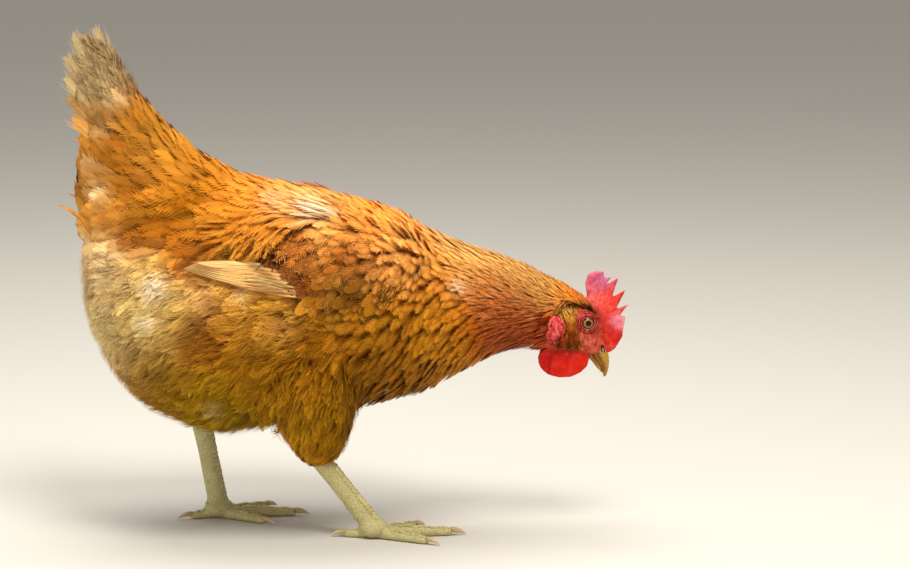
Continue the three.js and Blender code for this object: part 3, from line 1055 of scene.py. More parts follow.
@dataclass
class Body:
    """The feathered body: the coat's outer face, and the skin that lies under it."""

    nodes: tuple[str, ...] = ("trunk", "neck", "head", "tail")
    paired: tuple[str, ...] = ("wing", "thigh")
    voxel: float = 3.0
    grown: float = 0.5
    trunk_coat: float = 8.0
    neck_coat: float = 5.0
    head_coat: float = 3.2
    thigh_coat: float = 4.0
    ankle_coat: float = 0.8
    tail_root: Triple = (-118.0, 0.0, 262.0)
    tail_share: float = 0.72
    thickest: float = 60.0
    sunk_share: float = 0.38
    neck_span: Pair = (30, 95)
    head_span: Pair = (135, 156)
    thigh_span: Pair = (92, 76)
    thigh_rear: Pair = (-60, -50)
    thigh_edge: Pair = (7.0, 2.0)
    thigh_top: Pair = (150, 132)
    ankle_span: Pair = (68, 59)

    def build(self) -> None:
        """Builds the outer face of the coat and sinks a copy of it for the skin."""
        names = [*self.nodes, *both_sides(*self.paired)]
        shell = joined("body_shell", [copied(n, self.grown) for n in names])
        remeshed(shell, self.voxel)
        smooth_points(shell, 3)
        self.outer = Surface(shell)
        helper = joined("thighs", [copied(n, self.grown) for n in both_sides("thigh")])
        self.thighs = Surface(helper)
        discard(helper)
        self.thigh = self.on_thigh(self.outer.points)
        self.depth = self.coat_depth(self.outer.points)
        room = self.sunk_share * self.outer.thickness(self.thickest)
        self.depth = np.minimum(self.depth, room)
        sunk = self.outer.points - self.outer.normals * self.depth[:, None]
        move_points(shell, self.without_tail_tips(sunk))
        smooth_points(shell, 4)
        shell.name = "body_skin"
        self.piece = shell

    def on_thigh(self, points: Array) -> Array:
        """How far points belong to a thigh, from 0 to 1."""
        near = ease(*self.thigh_edge, self.thighs.away(points))
        return near * ease(*self.thigh_top, points[:, 2])

    def coat_depth(self, points: Array) -> Array:
        """How thick the coat is at each point.

        Args:
            points: places on the hen, in millimetres.

        Returns:
            A depth for each point, in millimetres.
        """
        x, _, z = points.T
        depth = mix(self.trunk_coat, self.neck_coat, ease(*self.neck_span, x))
        depth = mix(depth, self.head_coat, ease(*self.head_span, x))
        thigh = ease(*self.thigh_span, z) * ease(*self.thigh_rear, x)
        depth = mix(depth, self.thigh_coat, thigh)
        return mix(depth, self.ankle_coat, ease(*self.ankle_span, z))

    def without_tail_tips(self, points: Array) -> Array:
        """Draws the skin back out of the far ends of the tail feathers.

        Args:
            points: the skin's surface.

        Returns:
            The points moved.
        """
        root = np.array(self.tail_root)
        out = (points[:, 2] - root[2]) * 0.85 - (points[:, 0] - root[0]) * 0.5
        share = mix(1.0, self.tail_share, ease(0, 40, out))[:, None]
        return root + (points - root) * np.where(out[:, None] > 0, share, 1.0)


@dataclass
class Head:
    """The bare face with its lids, the comb, the wattles, the ear lobes and the feathered crown."""

    voxel: float = 0.62
    grown: float = 0.35
    kept: float = 0.75
    smoothing: int = 14
    cut: Pair = (141.0, 131.0)
    ahead: Triple = (0.94, 0.0, -0.34)
    coat: float = 2.0
    neck_coat: float = 6.0
    eye: Triple = (172.3, 9.6, 153.2)
    eye_radius: float = 7.4
    gaze: float = 8.0
    opening: Pair = (4.5, 4.2)
    lid_rise: float = 0.5
    lid_reach: float = 11.0
    folds: tuple[Triple, ...] = (
        (6.45, 0.42, 0.5), (8.3, 0.42, 0.34), (9.8, 0.5, 0.22),
    )
    face: Outline = (
        (163.8, 159.6), (166, 161), (170, 161.2), (175, 160.4), (178.5, 157.8), (181.3, 153),
        (184, 158), (196, 150), (196, 118), (176, 118), (172, 128), (168, 134.5), (166, 140),
        (165.2, 146), (164, 152),
    )
    lobe: Pair = (149.6, 145.8)
    lobe_outline: Outline = (
        (144.8, 153.6), (146.8, 157.2), (149.9, 156.9), (153.2, 155.3), (155.8, 152.2),
        (157.6, 148.3), (155.4, 144.2), (152.0, 140.0), (149.4, 135.6), (145.6, 133.9),
        (142.9, 139.5), (144.4, 146.8),
    )
    comb_base: Quad = (171.0, 172.0, 187.0, 136.0)
    comb_heart: Pair = (180.2, 155.1)
    wattle_crease: Pair = (146.0, 124.0)
    wattle_middle: float = 6.6
    flank: float = 2.5
    nostril: Pair = (184.2, 131.0)
    nostril_lean: float = 10.0
    nostril_half: Pair = (1.35, 4.2)

    def build(self) -> None:
        """Builds the head in fine faces and works its surface."""
        soft = ["comb", *both_sides("wattle", "ear_lobe")]
        parts = [copied(n, self.grown) for n in soft + ["head", "eye_left", "eye_right"]]
        self.piece = remeshed(joined("head_skin", parts), self.voxel)
        points = points_of(self.piece)
        keep = self.kept * np.max([self.near(n, points) for n in soft], axis=0)
        smooth_points(self.piece, self.smoothing, keep)
        finer_near(self.piece, self.fine_places)
        self.work()

    def near(self, node: str, points: Array) -> Array:
        """1 at points on a CAD node's surface, fading to 0 within a millimetre of it.

        Args:
            node: the node's name.
            points: the head's surface.

        Returns:
            A share for each point.
        """
        helper = copied(node, self.grown)
        away = Surface(helper).away(points)
        discard(helper)
        return ease(1.3, 0.5, away)

    def fine_places(self, points: Array) -> Array:
        """True for points round an eye, out to the last fold of the lids, and round a nostril.

        Args:
            points: the head's surface.

        Returns:
            True or false for each point.
        """
        x, y, z = self.eye
        gap = np.stack([points[:, 0] - x, np.abs(points[:, 1]) - y - 5, points[:, 2] - z], 1)
        slot = self.slot(points)
        near_slot = (np.hypot(*slot) < 6) & (np.abs(points[:, 1]) > 2)
        return (np.linalg.norm(gap, axis=1) < self.lid_reach + 1) | near_slot

    def slot(self, points: Array) -> tuple[Array, Array]:
        """How far points lie across and along the nostrils' slots, in millimetres.

        Args:
            points: the head's surface.

        Returns:
            Two distances for each point.
        """
        x, height = shown(points)
        dx, dz = x - self.nostril[0], height - self.nostril[1]
        lean = math.radians(self.nostril_lean)
        return dx * math.cos(lean) + dz * math.sin(lean), dz * math.cos(lean) - dx * math.sin(lean)

    def work(self) -> None:
        """Gives every part of the surface its folds, and says where it is bare."""
        points = points_of(self.piece)
        comb = self.near("comb", points)
        wattle = np.maximum(*(self.near(n, points) for n in both_sides("wattle")))
        lobe = np.maximum(*(self.near(n, points) for n in both_sides("ear_lobe")))
        face = inside(points, self.face, 2.0)
        self.bare = np.clip(np.max([comb, wattle, lobe, face], axis=0), 0, 1)
        normals = normals_of(self.piece)
        grain = wrinkle(points, 1.6, 2)
        folds = wrinkle(points * (1.0, 1.0, 0.45), 2.4, 3)
        dents = wrinkle(points, 5.0, 2)
        creased = ease(0.16, 0.0, np.abs(wrinkle(points * (1.0, 1.0, 0.7), 4.0, 3)))
        face_only = face * (1 - comb) * (1 - wattle)
        push = face_only * (0.16 * grain + 0.22 * folds - 0.22 * creased)
        push += lobe * (0.3 * folds + 0.2 * grain - 0.6 * creased)
        push += wattle * (0.05 * grain + 0.35 * dents)
        push += comb * 0.1 * grain
        # shade: painted shade in creases and hollows where it is below nought, painted highlight on
        # raised folds, ridges and bumps where it is above; Skin.build lays it on the red skin.
        self.shade = face_only * (1.0 * folds - 0.6 * creased)
        self.shade += lobe * (1.3 * folds - 0.9 * creased)
        self.shade += (1 - wattle) * comb * self.comb_grain(points) + 0.15 * wattle * dents
        behind = (points - (self.cut[0], 0, self.cut[1])) @ np.array(self.ahead)
        sunk = mix(self.neck_coat, self.coat, ease(0, 9, behind)) * (1 - self.bare)
        points += normals * (push - sunk)[:, None]
        points = self.with_lobes(points, lobe)
        points = self.with_comb(points, comb * (1 - wattle), dents, folds)
        points = self.with_wattles(points, wattle, folds)
        self.pit, self.flap, self.rim = self.nostrils(points)
        sides = np.sign(points[:, 1]) * face
        points[:, 1] -= sides * (1.6 * self.pit - 1.1 * self.flap - 0.35 * self.rim)
        for side in Side:
            points = self.with_lids(points, side)
        move_points(self.piece, points)

    def nostrils(self, points: Array) -> tuple[Array, Array, Array]:
        """The slots of the nostrils, the pale flap in each, and the pale rim at its lower end.

        Args:
            points: the head's surface.

        Returns:
            Three shares for each point.
        """
        across, along = self.slot(points)
        wide, long = self.nostril_half
        r = np.hypot(across / wide, along / long)
        outer = np.abs(points[:, 1]) > self.flank
        pit = ease(1.15, 0.7, r) * outer
        flap = ease(0.55, 0.3, np.hypot((across - 0.1) / wide, (along + 0.4) / long)) * outer
        rim = ease(0.9, 1.15, r) * ease(2.0, 1.4, r) * ease(0.5, -1.5, along) * outer
        return pit, flap, rim

    def comb_grain(self, points: Array) -> Array:
        """Painted shade and highlight of fine ridges that fan out from the comb's base towards its
        points.

        Args:
            points: the head's surface.

        Returns:
            A shade for each point, about nought.
        """
        across, up = points[:, 0] - self.comb_heart[0], points[:, 2] - self.comb_heart[1]
        turn, out = polar(across, up)
        fan = wrinkle(np.stack([turn * 16, out * 0.45, 40 + np.sign(points[:, 1]) * 20], 1), 2.0, 3)
        front = ease(-0.1, -0.5, turn)
        return 0.5 * fan * ease(5, 13, out) * (1 - front) + 0.35 * wrinkle(points, 3.5, 3)

    def with_lobes(self, points: Array, lobe: Array) -> Array:
        """Draws the ear lobes out to their uneven outline.

        Args:
            points: the head's surface.
            lobe: how far each point belongs to an ear lobe.

        Returns:
            The points moved.
        """
        x, height = shown(points)
        across, up = x - self.lobe[0], height - self.lobe[1]
        turn, out = polar(across, up)
        sectors = np.linspace(-math.pi, math.pi, 25)
        held = lobe > 0.6
        sector = np.digitize(turn, sectors) - 1
        far = np.array([out[held & (sector == k)].max(initial=6.0) for k in range(24)])
        at, wanted = polar(*(np.array(self.lobe_outline) - self.lobe).T)
        order = np.argsort(at)
        middles = (sectors[1:] + sectors[:-1]) / 2
        ratio = np.interp(middles, at[order], wanted[order], period=2 * math.pi) / far
        scale = mix(1.0, np.interp(turn, middles, ratio, period=2 * math.pi), lobe)
        points[:, 0] += across * (scale - 1)
        points[:, 2] += up * (scale - 1)
        return points

    def with_comb(self, points: Array, comb: Array, dents: Array, folds: Array) -> Array:
        """Thins the comb towards its points, swells its base and lets it wave.

        Args:
            points: the head's surface.
            comb: how far each point belongs to the comb.
            dents: soft lumps, from -1 to 1.
            folds: an upright crumpling, from -1 to 1.

        Returns:
            The points moved.
        """
        x0, z0, x1, z1 = self.comb_base
        along = np.array([x1 - x0, z1 - z0]) / math.hypot(x1 - x0, z1 - z0)
        out = (points[:, 0] - x0) * -along[1] + (points[:, 2] - z0) * along[0]
        scale = np.interp(out, [-4, 0, 5, 14, 26], [1.5, 1.35, 0.9, 0.62, 0.42])
        scale = scale + 0.16 * dents + 0.12 * folds
        wave = 0.9 * np.sin(points[:, 2] / 5.5 + points[:, 0] / 9) * ease(4, 18, out)
        points[:, 1] = mix(points[:, 1], points[:, 1] * scale + wave, comb)
        return points

    def with_wattles(self, points: Array, wattle: Array, folds: Array) -> Array:
        """Thins the wattles to their rims and puts shallow upright creases in them.

        Args:
            points: the head's surface.
            wattle: how far each point belongs to a wattle.
            folds: an upright crumpling, from -1 to 1.

        Returns:
            The points moved.
        """
        low = ease(132, 116, points[:, 2])
        middle = self.wattle_middle + 0.8 * low
        side = np.sign(points[:, 1])
        flat = np.abs(points[:, 1]) - self.wattle_middle
        crease = 0.3 * np.sin(points[:, 0] * 1.1 + 1.5 * folds) * low
        thin = middle + flat * (1 - 0.25 * low) + crease * 0.6
        slope = self.wattle_crease[0] + 0.12 * (points[:, 2] - self.wattle_crease[1])
        fold = np.exp(-(((points[:, 0] - slope) / 0.9) ** 2)) * (np.abs(points[:, 1]) > middle)
        # Painted shade in the wattle's upright crease.
        self.shade -= 0.8 * fold * wattle * low
        outer = np.abs(points[:, 1]) > self.flank
        points[:, 1] = mix(points[:, 1], side * (thin - 0.7 * fold * low), wattle * outer)
        return points

    def with_lids(self, points: Array, side: Side) -> Array:
        """Draws the skin in under the eyeball and folds it into lids round the opening.

        Args:
            points: the head's surface.
            side: which eye.

        Returns:
            The points moved.
        """
        centre, axis, level = self.eye_frame(side)
        gap = points - centre
        high = gap @ axis
        across, up = gap @ level, gap[:, 2]
        turn, flat = polar(across, up)
        r = 5 * np.hypot(across / self.opening[0], up / self.opening[1])
        here = (flat < self.lid_reach + 1) & (high > 0)
        # Pale rings on the lid margin and on the ridge outside it: partly pale skin, partly painted
        # highlight.
        margins = np.exp(-(((r - 5.5) / 0.35) ** 2)) + 0.5 * np.exp(-(((r - 7.3) / 0.4) ** 2))
        self.shade = np.where(here, self.shade + 0.45 * margins, self.shade)
        ball = np.sqrt(np.maximum(self.eye_radius**2 - flat**2, 0))
        margin = math.sqrt(self.eye_radius**2 - self.opening[0] ** 2) + self.lid_rise
        fall = 0.06 * (r - 5.4) ** 2 * (r > 5.4)
        lid = margin - fall
        for place, width, deep in self.folds:
            wavy = place + 0.22 * np.sin(3 * turn + place) + 0.12 * np.sin(7 * turn)
            fold = deep * np.exp(-(((r - wavy) / width) ** 2))
            fold = fold * (1 - ease(9.4, self.lid_reach, r))
            lid = lid - fold
            # Painted shade in each fold of the lids.
            self.shade = np.where(here, self.shade - 3.4 * fold, self.shade)
        outer = mix(lid, high, ease(6.8, self.lid_reach, r))
        grooves = outer + (lid - margin + fall) * ease(6.8, 8, r)
        high_new = np.where(r < 4.55, ball - 1.6, grooves)
        wall = ease(4.55, 5.15, r)
        high_new = np.where(r < 5.15, mix(ball - 1.6, grooves, wall), high_new)
        moved = points + (high_new - high)[:, None] * axis
        return np.where(here[:, None], moved, points)

    def eye_frame(self, side: Side) -> tuple[Array, Array, Array]:
        """The eye's middle, the way that it looks, and the level direction across it.

        Args:
            side: which eye.

        Returns:
            A place and two directions.
        """
        turn = math.radians(self.gaze)
        axis = np.array([math.sin(turn), side.value * math.cos(turn), 0])
        level = np.array([math.cos(turn), -side.value * math.sin(turn), 0])
        return np.array(self.eye) * (1, side.value, 1), axis, level


# ---- Coat ----


@dataclass(frozen=True)
class Pattern:
    """One feather laid flat, which a whole tract repeats.

    Every point has its share of the feather's length and of its half width, the barb that it
    belongs to, how far out it lies, and, where it is the free end of a lock of barbs, how far
    the lock stands out along and across. lock numbers the locks.
    """

    along: Array
    across: Array
    barb: Array
    out: Array
    ahead: Array
    aside: Array
    lock: Array
    faces: Array


@dataclass(frozen=True)
class Vane:
    """The shape that the feathers of one kind share: locks of barbs on both sides of a shaft.

    locks is their number on a side, notch how deeply they part, fray how unevenly they end, base
    where the lowest ones end, point how sharply the vane narrows and narrow its width at the base.
    """

    locks: int = 6
    notch: float = 0.28
    fray: float = 0.25
    base: float = 0.2
    point: float = 0.75
    narrow: float = 0.7
    camber: float = 0.16

    def edge(self, turn: Array) -> tuple[Array, Array]:
        """The outline at a share of the way from the base to the tip.

        Args:
            turn: the share.

        Returns:
            The place along the feather, and half the width there.
        """
        along = self.base + (1 - self.base) * np.sin(turn * math.pi / 2) ** 0.9
        full = self.narrow + (1 - self.narrow) * np.minimum(1, turn / 0.35)
        return along, np.maximum(np.cos(turn * math.pi / 2), 0) ** self.point * full

    def pattern(self) -> Pattern:
        """The feather laid flat.

        Returns:
            The points and faces that every feather repeats.
        """
        n = self.locks
        k = np.arange(n)
        turn, middle = np.arange(n + 1) / n, (k + 0.55) / n
        shaft, zero = 0.95 * turn**1.1, np.zeros(n + 1)
        columns = [(shaft, zero, turn, zero, zero, zero, zero)]
        faces, points = [], n + 1
        for side in (1, -1):
            along, rim = self.edge(turn)
            share = 1 - self.notch
            inner, tips = points, points + n + 1
            waist = shaft + (along - shaft) * share
            columns.append((waist, side * rim * share, turn, zero + share, zero, zero, zero))
            along, across = self.edge(middle)
            ahead = along - (waist[1:] + waist[:-1]) / 2
            aside = side * across - side * share * (rim[1:] + rim[:-1]) / 2
            locks = k + 1 + n * (side < 0)
            columns.append((along, side * across, middle, np.ones(n), ahead, aside, locks))
            quads = [(k, k + 1, inner + k + 1), (k, inner + k + 1, inner + k)]
            for tri in quads + [(inner + k, inner + k + 1, tips + k)]:
                faces.append(np.stack(tri[::side], 1))
            points = tips + n
        return Pattern(*(np.concatenate(c) for c in zip(*columns)), np.concatenate(faces))


@dataclass(frozen=True)
class Hair:
    """A tapering wisp of down."""

    steps: int = 3
    fray: float = 0.0
    camber: float = 0.0

    def pattern(self) -> Pattern:
        """The wisp laid flat.

        Returns:
            The points and faces that every wisp repeats.
        """
        share = np.arange(self.steps) / self.steps
        wide = 1 - 0.6 * share
        along = np.concatenate([share, share, [1.0]])
        across = np.concatenate([wide, -wide, [0.0]])
        k = np.arange(self.steps - 1)
        n = self.steps
        faces = [
            np.stack([k + n, k + n + 1, k + 1], 1),
            np.stack([k + n, k + 1, k], 1),
            np.array([[2 * n - 1, 2 * n, n - 1]]),
        ]
        zero = np.zeros(len(along))
        return Pattern(
            along, across, along * 0.5, zero + 0.4, zero, zero, zero, np.concatenate(faces)
        )


@dataclass(frozen=True)
class Lie:
    """Which way the feathers point, from guides on the side view: place, then direction."""

    reach: float = 17.0
    head_reach: float = 7.0
    head: float = 140.0
    guides: tuple[Quad, ...] = (
        (172, 168, -0.85, 0.5), (160, 170, -0.9, 0.4), (150, 182, -0.9, 0.43),
        (150, 163, -0.95, 0.1), (157, 162, 0.75, -0.65), (161, 157, 0.35, -0.95),
        (161, 149, -0.05, -1.0), (162, 141, 0.25, -0.95), (155, 136, -0.5, -0.8),
        (141, 150, -0.97, -0.1), (145, 132, -1.0, 0.0), (110, 198, -0.93, 0.37),
        (70, 213, -0.92, 0.39), (115, 180, -0.88, 0.45), (85, 195, -0.9, 0.35),
        (120, 158, -0.95, 0.25), (95, 172, -0.95, -0.1), (120, 138, -0.98, -0.05),
        (100, 145, -0.9, -0.4), (70, 180, -0.85, -0.45), (60, 150, -0.88, -0.47),
        (30, 125, -0.9, -0.42), (60, 112, -0.93, -0.36), (10, 100, -0.97, -0.2),
        (50, 205, -0.85, -0.5), (20, 200, -0.84, -0.54), (-10, 180, -0.85, -0.5),
        (20, 165, -0.88, -0.45), (-15, 215, -0.7, -0.7), (20, 235, -0.93, 0.15),
        (-40, 250, -0.97, 0.05), (-30, 235, -0.8, -0.55), (-60, 205, -0.35, -0.9),
        (-40, 215, -0.45, -0.9), (-90, 215, -0.75, -0.6), (-120, 230, -0.95, -0.2),
        (-90, 240, -0.95, -0.15), (-95, 262, -0.9, 0.45), (-110, 275, -0.75, 0.68),
        (-140, 310, -0.62, 0.78), (-140, 275, -0.85, 0.5), (-150, 245, -0.97, 0.1),
        (-180, 270, -0.85, 0.45), (-165, 335, -0.55, 0.83), (-170, 200, -0.95, -0.25),
        (-180, 160, -0.8, -0.55), (-140, 170, -0.9, -0.35), (-150, 120, -0.7, -0.7),
        (-100, 150, -0.95, -0.2), (-110, 100, -0.75, -0.6), (-60, 160, -0.97, -0.15),
        (-60, 110, -0.9, -0.4), (-90, 80, -0.95, -0.2), (-20, 150, -0.95, -0.25),
        (0, 130, -0.9, -0.4),
    )

    def along(self, found: Found, thigh: Array) -> Array:
        """The direction in which feathers lie at places on the hen.

        Args:
            found: the places.
            thigh: how far each place belongs to a thigh, where the feathers hang.

        Returns:
            Unit vectors along the surface.
        """
        x, height = shown(found.points)
        total = np.zeros((len(x), 3))
        for at_x, at_z, dx, dz in self.guides:
            reach = self.head_reach if at_x > self.head else self.reach
            held = np.exp(-(((x - at_x) ** 2 + (height - at_z) ** 2) / reach**2)) + 1e-12
            total += held[:, None] * (dx, 0, dz)
        total = mix(unit(total), np.array([-0.35, 0.0, -0.94]), thigh[:, None])
        flat = total - found.normals * (total * found.normals).sum(1, keepdims=True)
        return unit(flat + (0, 0, -1e-3))


@dataclass(frozen=True)
class Tract:
    """A region of the coat whose feathers are alike.

    length and width (half of it) are in millimetres, and grade scales both by X. rise is the
    power at which a feather climbs from the skin to the coat's outer face, lift how far its tip
    stands off, turn how far it strays from the lie in degrees, odd how much its colour varies,
    streak how much that of its locks does, local how closely it follows the markings, ruffle how
    much the coat swells and swirls in clumps, and tuft how far apart the tufts are that the tips
    are drawn into, and how firmly.
    """

    name: str
    where: Callable[[Array], Array]
    vane: Vane | Hair
    finish: FeatherFinish
    length: float
    width: float
    spacing: float
    seed: int
    grade: tuple[Pair, ...] = ((0.0, 1.0),)
    rise: float = 0.8
    start: float = 0.1
    lift: float = 0.3
    turn: float = 7.0
    roll: float = 7.0
    odd: float = 0.16
    streak: float = 0.2
    dark: float = 0.0
    local: float = 0.3
    ruffle: float = 1.0
    tuft: Pair = (0.0, 0.0)
    sides: bool = False


@dataclass
class Coat:
    """Lays feathers over the body, tract by tract."""

    body: Body
    skin: Surface
    bare: Array
    markings: Markings = Markings()
    lie: Lie = Lie()
    steps: int = 5
    stiff: float = 0.8
    patch: float = 0.003
    chart: Pair = (0.31, 0.47)
    chart_edge: float = 0.01
    tip_share: float = 0.7
    size_range: Pair = (0.85, 1.12)
    clump_size: float = 24.0
    clump_lift: float = 1.8
    # clump_tone: how much painted light and shade follow the clumps' lift.
    clump_tone: float = 0.2
    swirl_size: float = 30.0
    swirl_turn: float = 16.0
    lift_odd: float = 0.25
    straightness: float = 0.75
    tuft_tone: float = 0.24
    tone_range: Pair = (0.4, 1.6)
    warmth: Triple = (0.0, 0.6, 1.0)
    warmth_odd: float = 0.12

    def __post_init__(self) -> None:
        """Reads the body's outer face once for all tracts."""
        self.outer = self.body.outer
        self.thigh = self.body.thigh
        self.middles = self.outer.middles()
        under = self.skin.nearest(self.middles.points)
        self.clothed = 1 - self.skin.read(self.bare, under)
        self.charts = self.unwrap()

    def unwrap(self) -> Array:
        """A flat place for every corner of every face, in one of six charts by how it faces.

        Returns:
            Three flat places for each face.
        """
        normals = self.middles.normals
        axis = np.abs(normals).argmax(1)
        rows = np.arange(len(axis))
        back = normals[rows, axis] < 0
        low, high = self.outer.points.min(0), self.outer.points.max(0)
        share = ((self.outer.points - low) / (high - low).max())[self.outer.faces]
        flat = np.stack([share[rows, :, (axis + k) % 3] for k in (1, 2)], 2)
        corner = np.stack([axis / 3, back * 0.5], 1)
        return corner[:, None, :] + self.chart_edge + flat * self.chart

    def charted(self, found: Found) -> Array:
        """The places on the flat charts of found places."""
        return (self.charts[found.faces] * found.shares[:, :, None]).sum(1)

    def grow(self, tract: Tract) -> list[Piece]:
        """Grows a tract.

        Args:
            tract: what grows and where.

        Returns:
            Its piece, or its two pieces where the tract is parted along the back.
        """
        rng = np.random.default_rng(tract.seed)
        thigh = self.outer.read(self.thigh, self.middles)
        scale = self.graded(tract, self.middles.points)
        way = self.lie.along(self.middles, thigh) * (self.tip_share * tract.length * scale)[:, None]
        share = np.clip(tract.where(self.middles.points + way) * self.clothed, 0, 1)
        roots = self.outer.scattered(share, tract.spacing * scale, rng)
        pieces = []
        for side in Side if tract.sides else (None,):
            own = slice(None) if side is None else roots.points[:, 1] * side.value > 0
            name = tract.name if side is None else f"{tract.name}_{side.word}"
            pieces.append(self.laid(name, tract, roots.chosen(own), rng))
        return pieces

    @staticmethod
    def graded(tract: Tract, points: Array) -> Array:
        """The tract's size at each place."""
        x, scale = np.array(tract.grade).T
        return np.interp(points[:, 0], x, scale)

    def laid(self, name: str, tract: Tract, roots: Found, rng: Rng) -> Piece:
        """Lays feathers from the given roots.

        Args:
            name: the piece's name.
            tract: the kind of feather.
            roots: where the feathers start.
            rng: the random numbers.

        Returns:
            The piece.
        """
        count = len(roots.points)
        scale = self.graded(tract, roots.points) * rng.uniform(*self.size_range, count)
        length = tract.length * scale
        clump = tract.ruffle * wrinkle(roots.points, self.clump_size, 2)
        swirl = tract.ruffle * wrinkle(roots.points + 300.0, self.swirl_size, 2)
        turn = np.radians(rng.normal(0, tract.turn, count) + self.swirl_turn * swirl)
        lift = tract.lift + rng.normal(0, self.lift_odd, count)
        lift += np.maximum(self.clump_lift * clump, -0.5)
        lines, normals = self.lines(tract, roots, length, turn, lift)
        reach = np.linalg.norm(lines[:, -1] - lines[:, 0], axis=1)
        straight = reach > self.straightness * length
        lines, normals, scale, clump = (v[straight] for v in (lines, normals, scale, clump))
        roots = roots.chosen(straight)
        count = len(lines)
        # Lifted clumps are painted lighter and sunk ones darker: painted light and shade of the
        # clumps.
        tone = self.clump_tone * clump
        if tract.tuft[0]:
            lines, own = self.gathered(tract, roots.points, lines)
            tone = tone + self.tuft_tone * rng.normal(0, 1, count)[own]
        uv = self.charted(roots)
        colour = self.markings.plumage(lines[:, -2])
        colour = colour * np.clip(1 + tone, *self.tone_range)[:, None]
        return self.feathered(name, tract, lines, normals, tract.width * scale, colour, uv, rng)

    def gathered(self, tract: Tract, roots: Array, lines: Array) -> tuple[Array, Array]:
        """Draws neighbouring shafts together towards their tips, and says which tuft each is in.

        Args:
            tract: the kind of feather.
            roots: where each shaft starts.
            lines: the shafts' points, feather by feather.

        Returns:
            The shafts' points, and the number of each one's tuft.
        """
        spacing, hold = tract.tuft
        heads = apart(roots, np.full(len(roots), spacing))
        tree = kd_tree(roots[heads])
        own = heads[[tree.find(place)[1] for place in roots.tolist()]]
        share = hold * np.linspace(0, 1, self.steps)[None, :, None] ** 1.4
        return mix(lines, lines[own], share), own

    def lines(
        self, tract: Tract, roots: Found, length: Array, turn: Array, lift: Array
    ) -> tuple[Array, Array]:
        """Draws each feather's shaft from its root, along the lie and up through the coat.

        Args:
            tract: how steeply the feathers climb.
            roots: where they start.
            length: how long each one is.
            turn: how far each one strays from the lie.
            lift: how far each one's tip stands off.

        Returns:
            The shafts' points and the coat's normals there.
        """
        found, free, last = roots, roots.points, 0.0
        lines, normals = [], []
        for step in range(self.steps):
            share = step / (self.steps - 1)
            depth = self.outer.read(self.body.depth, found)
            up = tract.start + (1 - tract.start) * share**tract.rise
            high = (up - 1) * depth + lift * share
            lines.append(free + found.normals * high[:, None])
            normals.append(found.normals)
            if step < self.steps - 1:
                way = self.lie.along(found, self.outer.read(self.thigh, found))
                aside = np.cross(found.normals, way)
                way = way * np.cos(turn)[:, None] + aside * np.sin(turn)[:, None]
                last = unit(way + self.stiff * last)
                ahead = free + last * (length / (self.steps - 1))[:, None]
                found = self.outer.nearest(ahead)
                gap = ((ahead - found.points) * found.normals).sum(1)
                free = found.points + found.normals * np.clip(0.5 * gap, 0, 4)[:, None]
        return np.stack(lines, 1), np.stack(normals, 1)

    def feathered(
        self,
        name: str,
        tract: Tract,
        lines: Array,
        normals: Array,
        width: Array,
        colour: Array,
        uv: Array,
        rng: Rng,
    ) -> Piece:
        """Bends the tract's pattern along every shaft and makes one mesh of them.

        Args:
            name: the piece's name.
            tract: the kind of feather.
            lines: the shafts' points, feather by feather.
            normals: the outward direction at them.
            width: half of each vane's width.
            colour: each feather's colour.
            uv: each root's place on the flat charts.
            rng: the random numbers.

        Returns:
            The piece.
        """
        flat = tract.vane.pattern()
        count, steps = lines.shape[:2]
        points = len(flat.along)
        along = np.tile(flat.along, (count, 1))
        across = np.tile(flat.across, (count, 1))
        uneven = rng.uniform(-tract.vane.fray, tract.vane.fray * 0.7, (count, points))
        along = along + uneven * flat.ahead
        across = across + uneven * flat.aside
        at = np.clip(along * (steps - 1), 0, steps - 1 - 1e-6)
        low = at.astype(int)
        t = (at - low)[:, :, None]
        row = np.arange(count)[:, None]
        spot = mix(lines[row, low], lines[row, low + 1], t)
        beyond = np.maximum(along * (steps - 1) - at, 0)[:, :, None]
        spot += (lines[row, low + 1] - lines[row, low]) * beyond
        ahead = unit(np.gradient(lines, axis=1))
        forward = unit(mix(ahead[row, low], ahead[row, low + 1], t))
        outward = unit(mix(normals[row, low], normals[row, low + 1], t))
        sideways = unit(np.cross(outward, forward))
        outward = np.cross(forward, sideways)
        roll = np.radians(rng.normal(0, tract.roll, count))[:, None, None]
        cos, sin = np.cos(roll), np.sin(roll)
        sideways, outward = sideways * cos + outward * sin, outward * cos - sideways * sin
        wide = across * width[:, None]
        sag = tract.vane.camber * across**2 * width[:, None]
        spot += sideways * wide[:, :, None] - outward * sag[:, :, None]
        faces = (flat.faces[None] + (np.arange(count) * points)[:, None, None]).reshape(-1, 3)
        piece = new_mesh(name, spot.reshape(-1, 3), [faces])
        own = rng.random(count)
        tone = 1 + tract.odd * rng.normal(0, 1, (count, 1))
        warm = 1 + self.warmth_odd * rng.normal(0, 1, (count, 1)) * self.warmth
        shade = np.clip(colour * tone * warm * (1 - tract.dark), 0, 1)
        fine = self.markings.plumage(spot.reshape(-1, 3)) * (1 - tract.dark)
        locks = 1 + tract.streak * rng.normal(0, 1, (count, int(flat.lock.max()) + 1))
        locks = np.where(flat.lock > 0, locks[:, flat.lock.astype(int)], 1.0).reshape(-1, 1)
        paint(piece, np.clip(mix(np.repeat(shade, points, 0), fine, tract.local) * locks, 0, 1))
        barbs = [np.tile(flat.barb, count), np.tile(flat.out, count), np.repeat(own, points)]
        store(piece, "Vane", np.stack(barbs, 1))
        spread = np.stack([flat.along - 0.5, flat.across * 0.5], 1) * self.patch
        corners = (uv[:, None, :] + spread[None]).reshape(-1, 2)[faces.ravel()]
        layer = piece.data.uv_layers.new(name="OFBake")
        layer.data.foreach_set("uv", corners.astype(np.float32).ravel())
        piece.data.materials.append(tract.finish.material())
        return piece

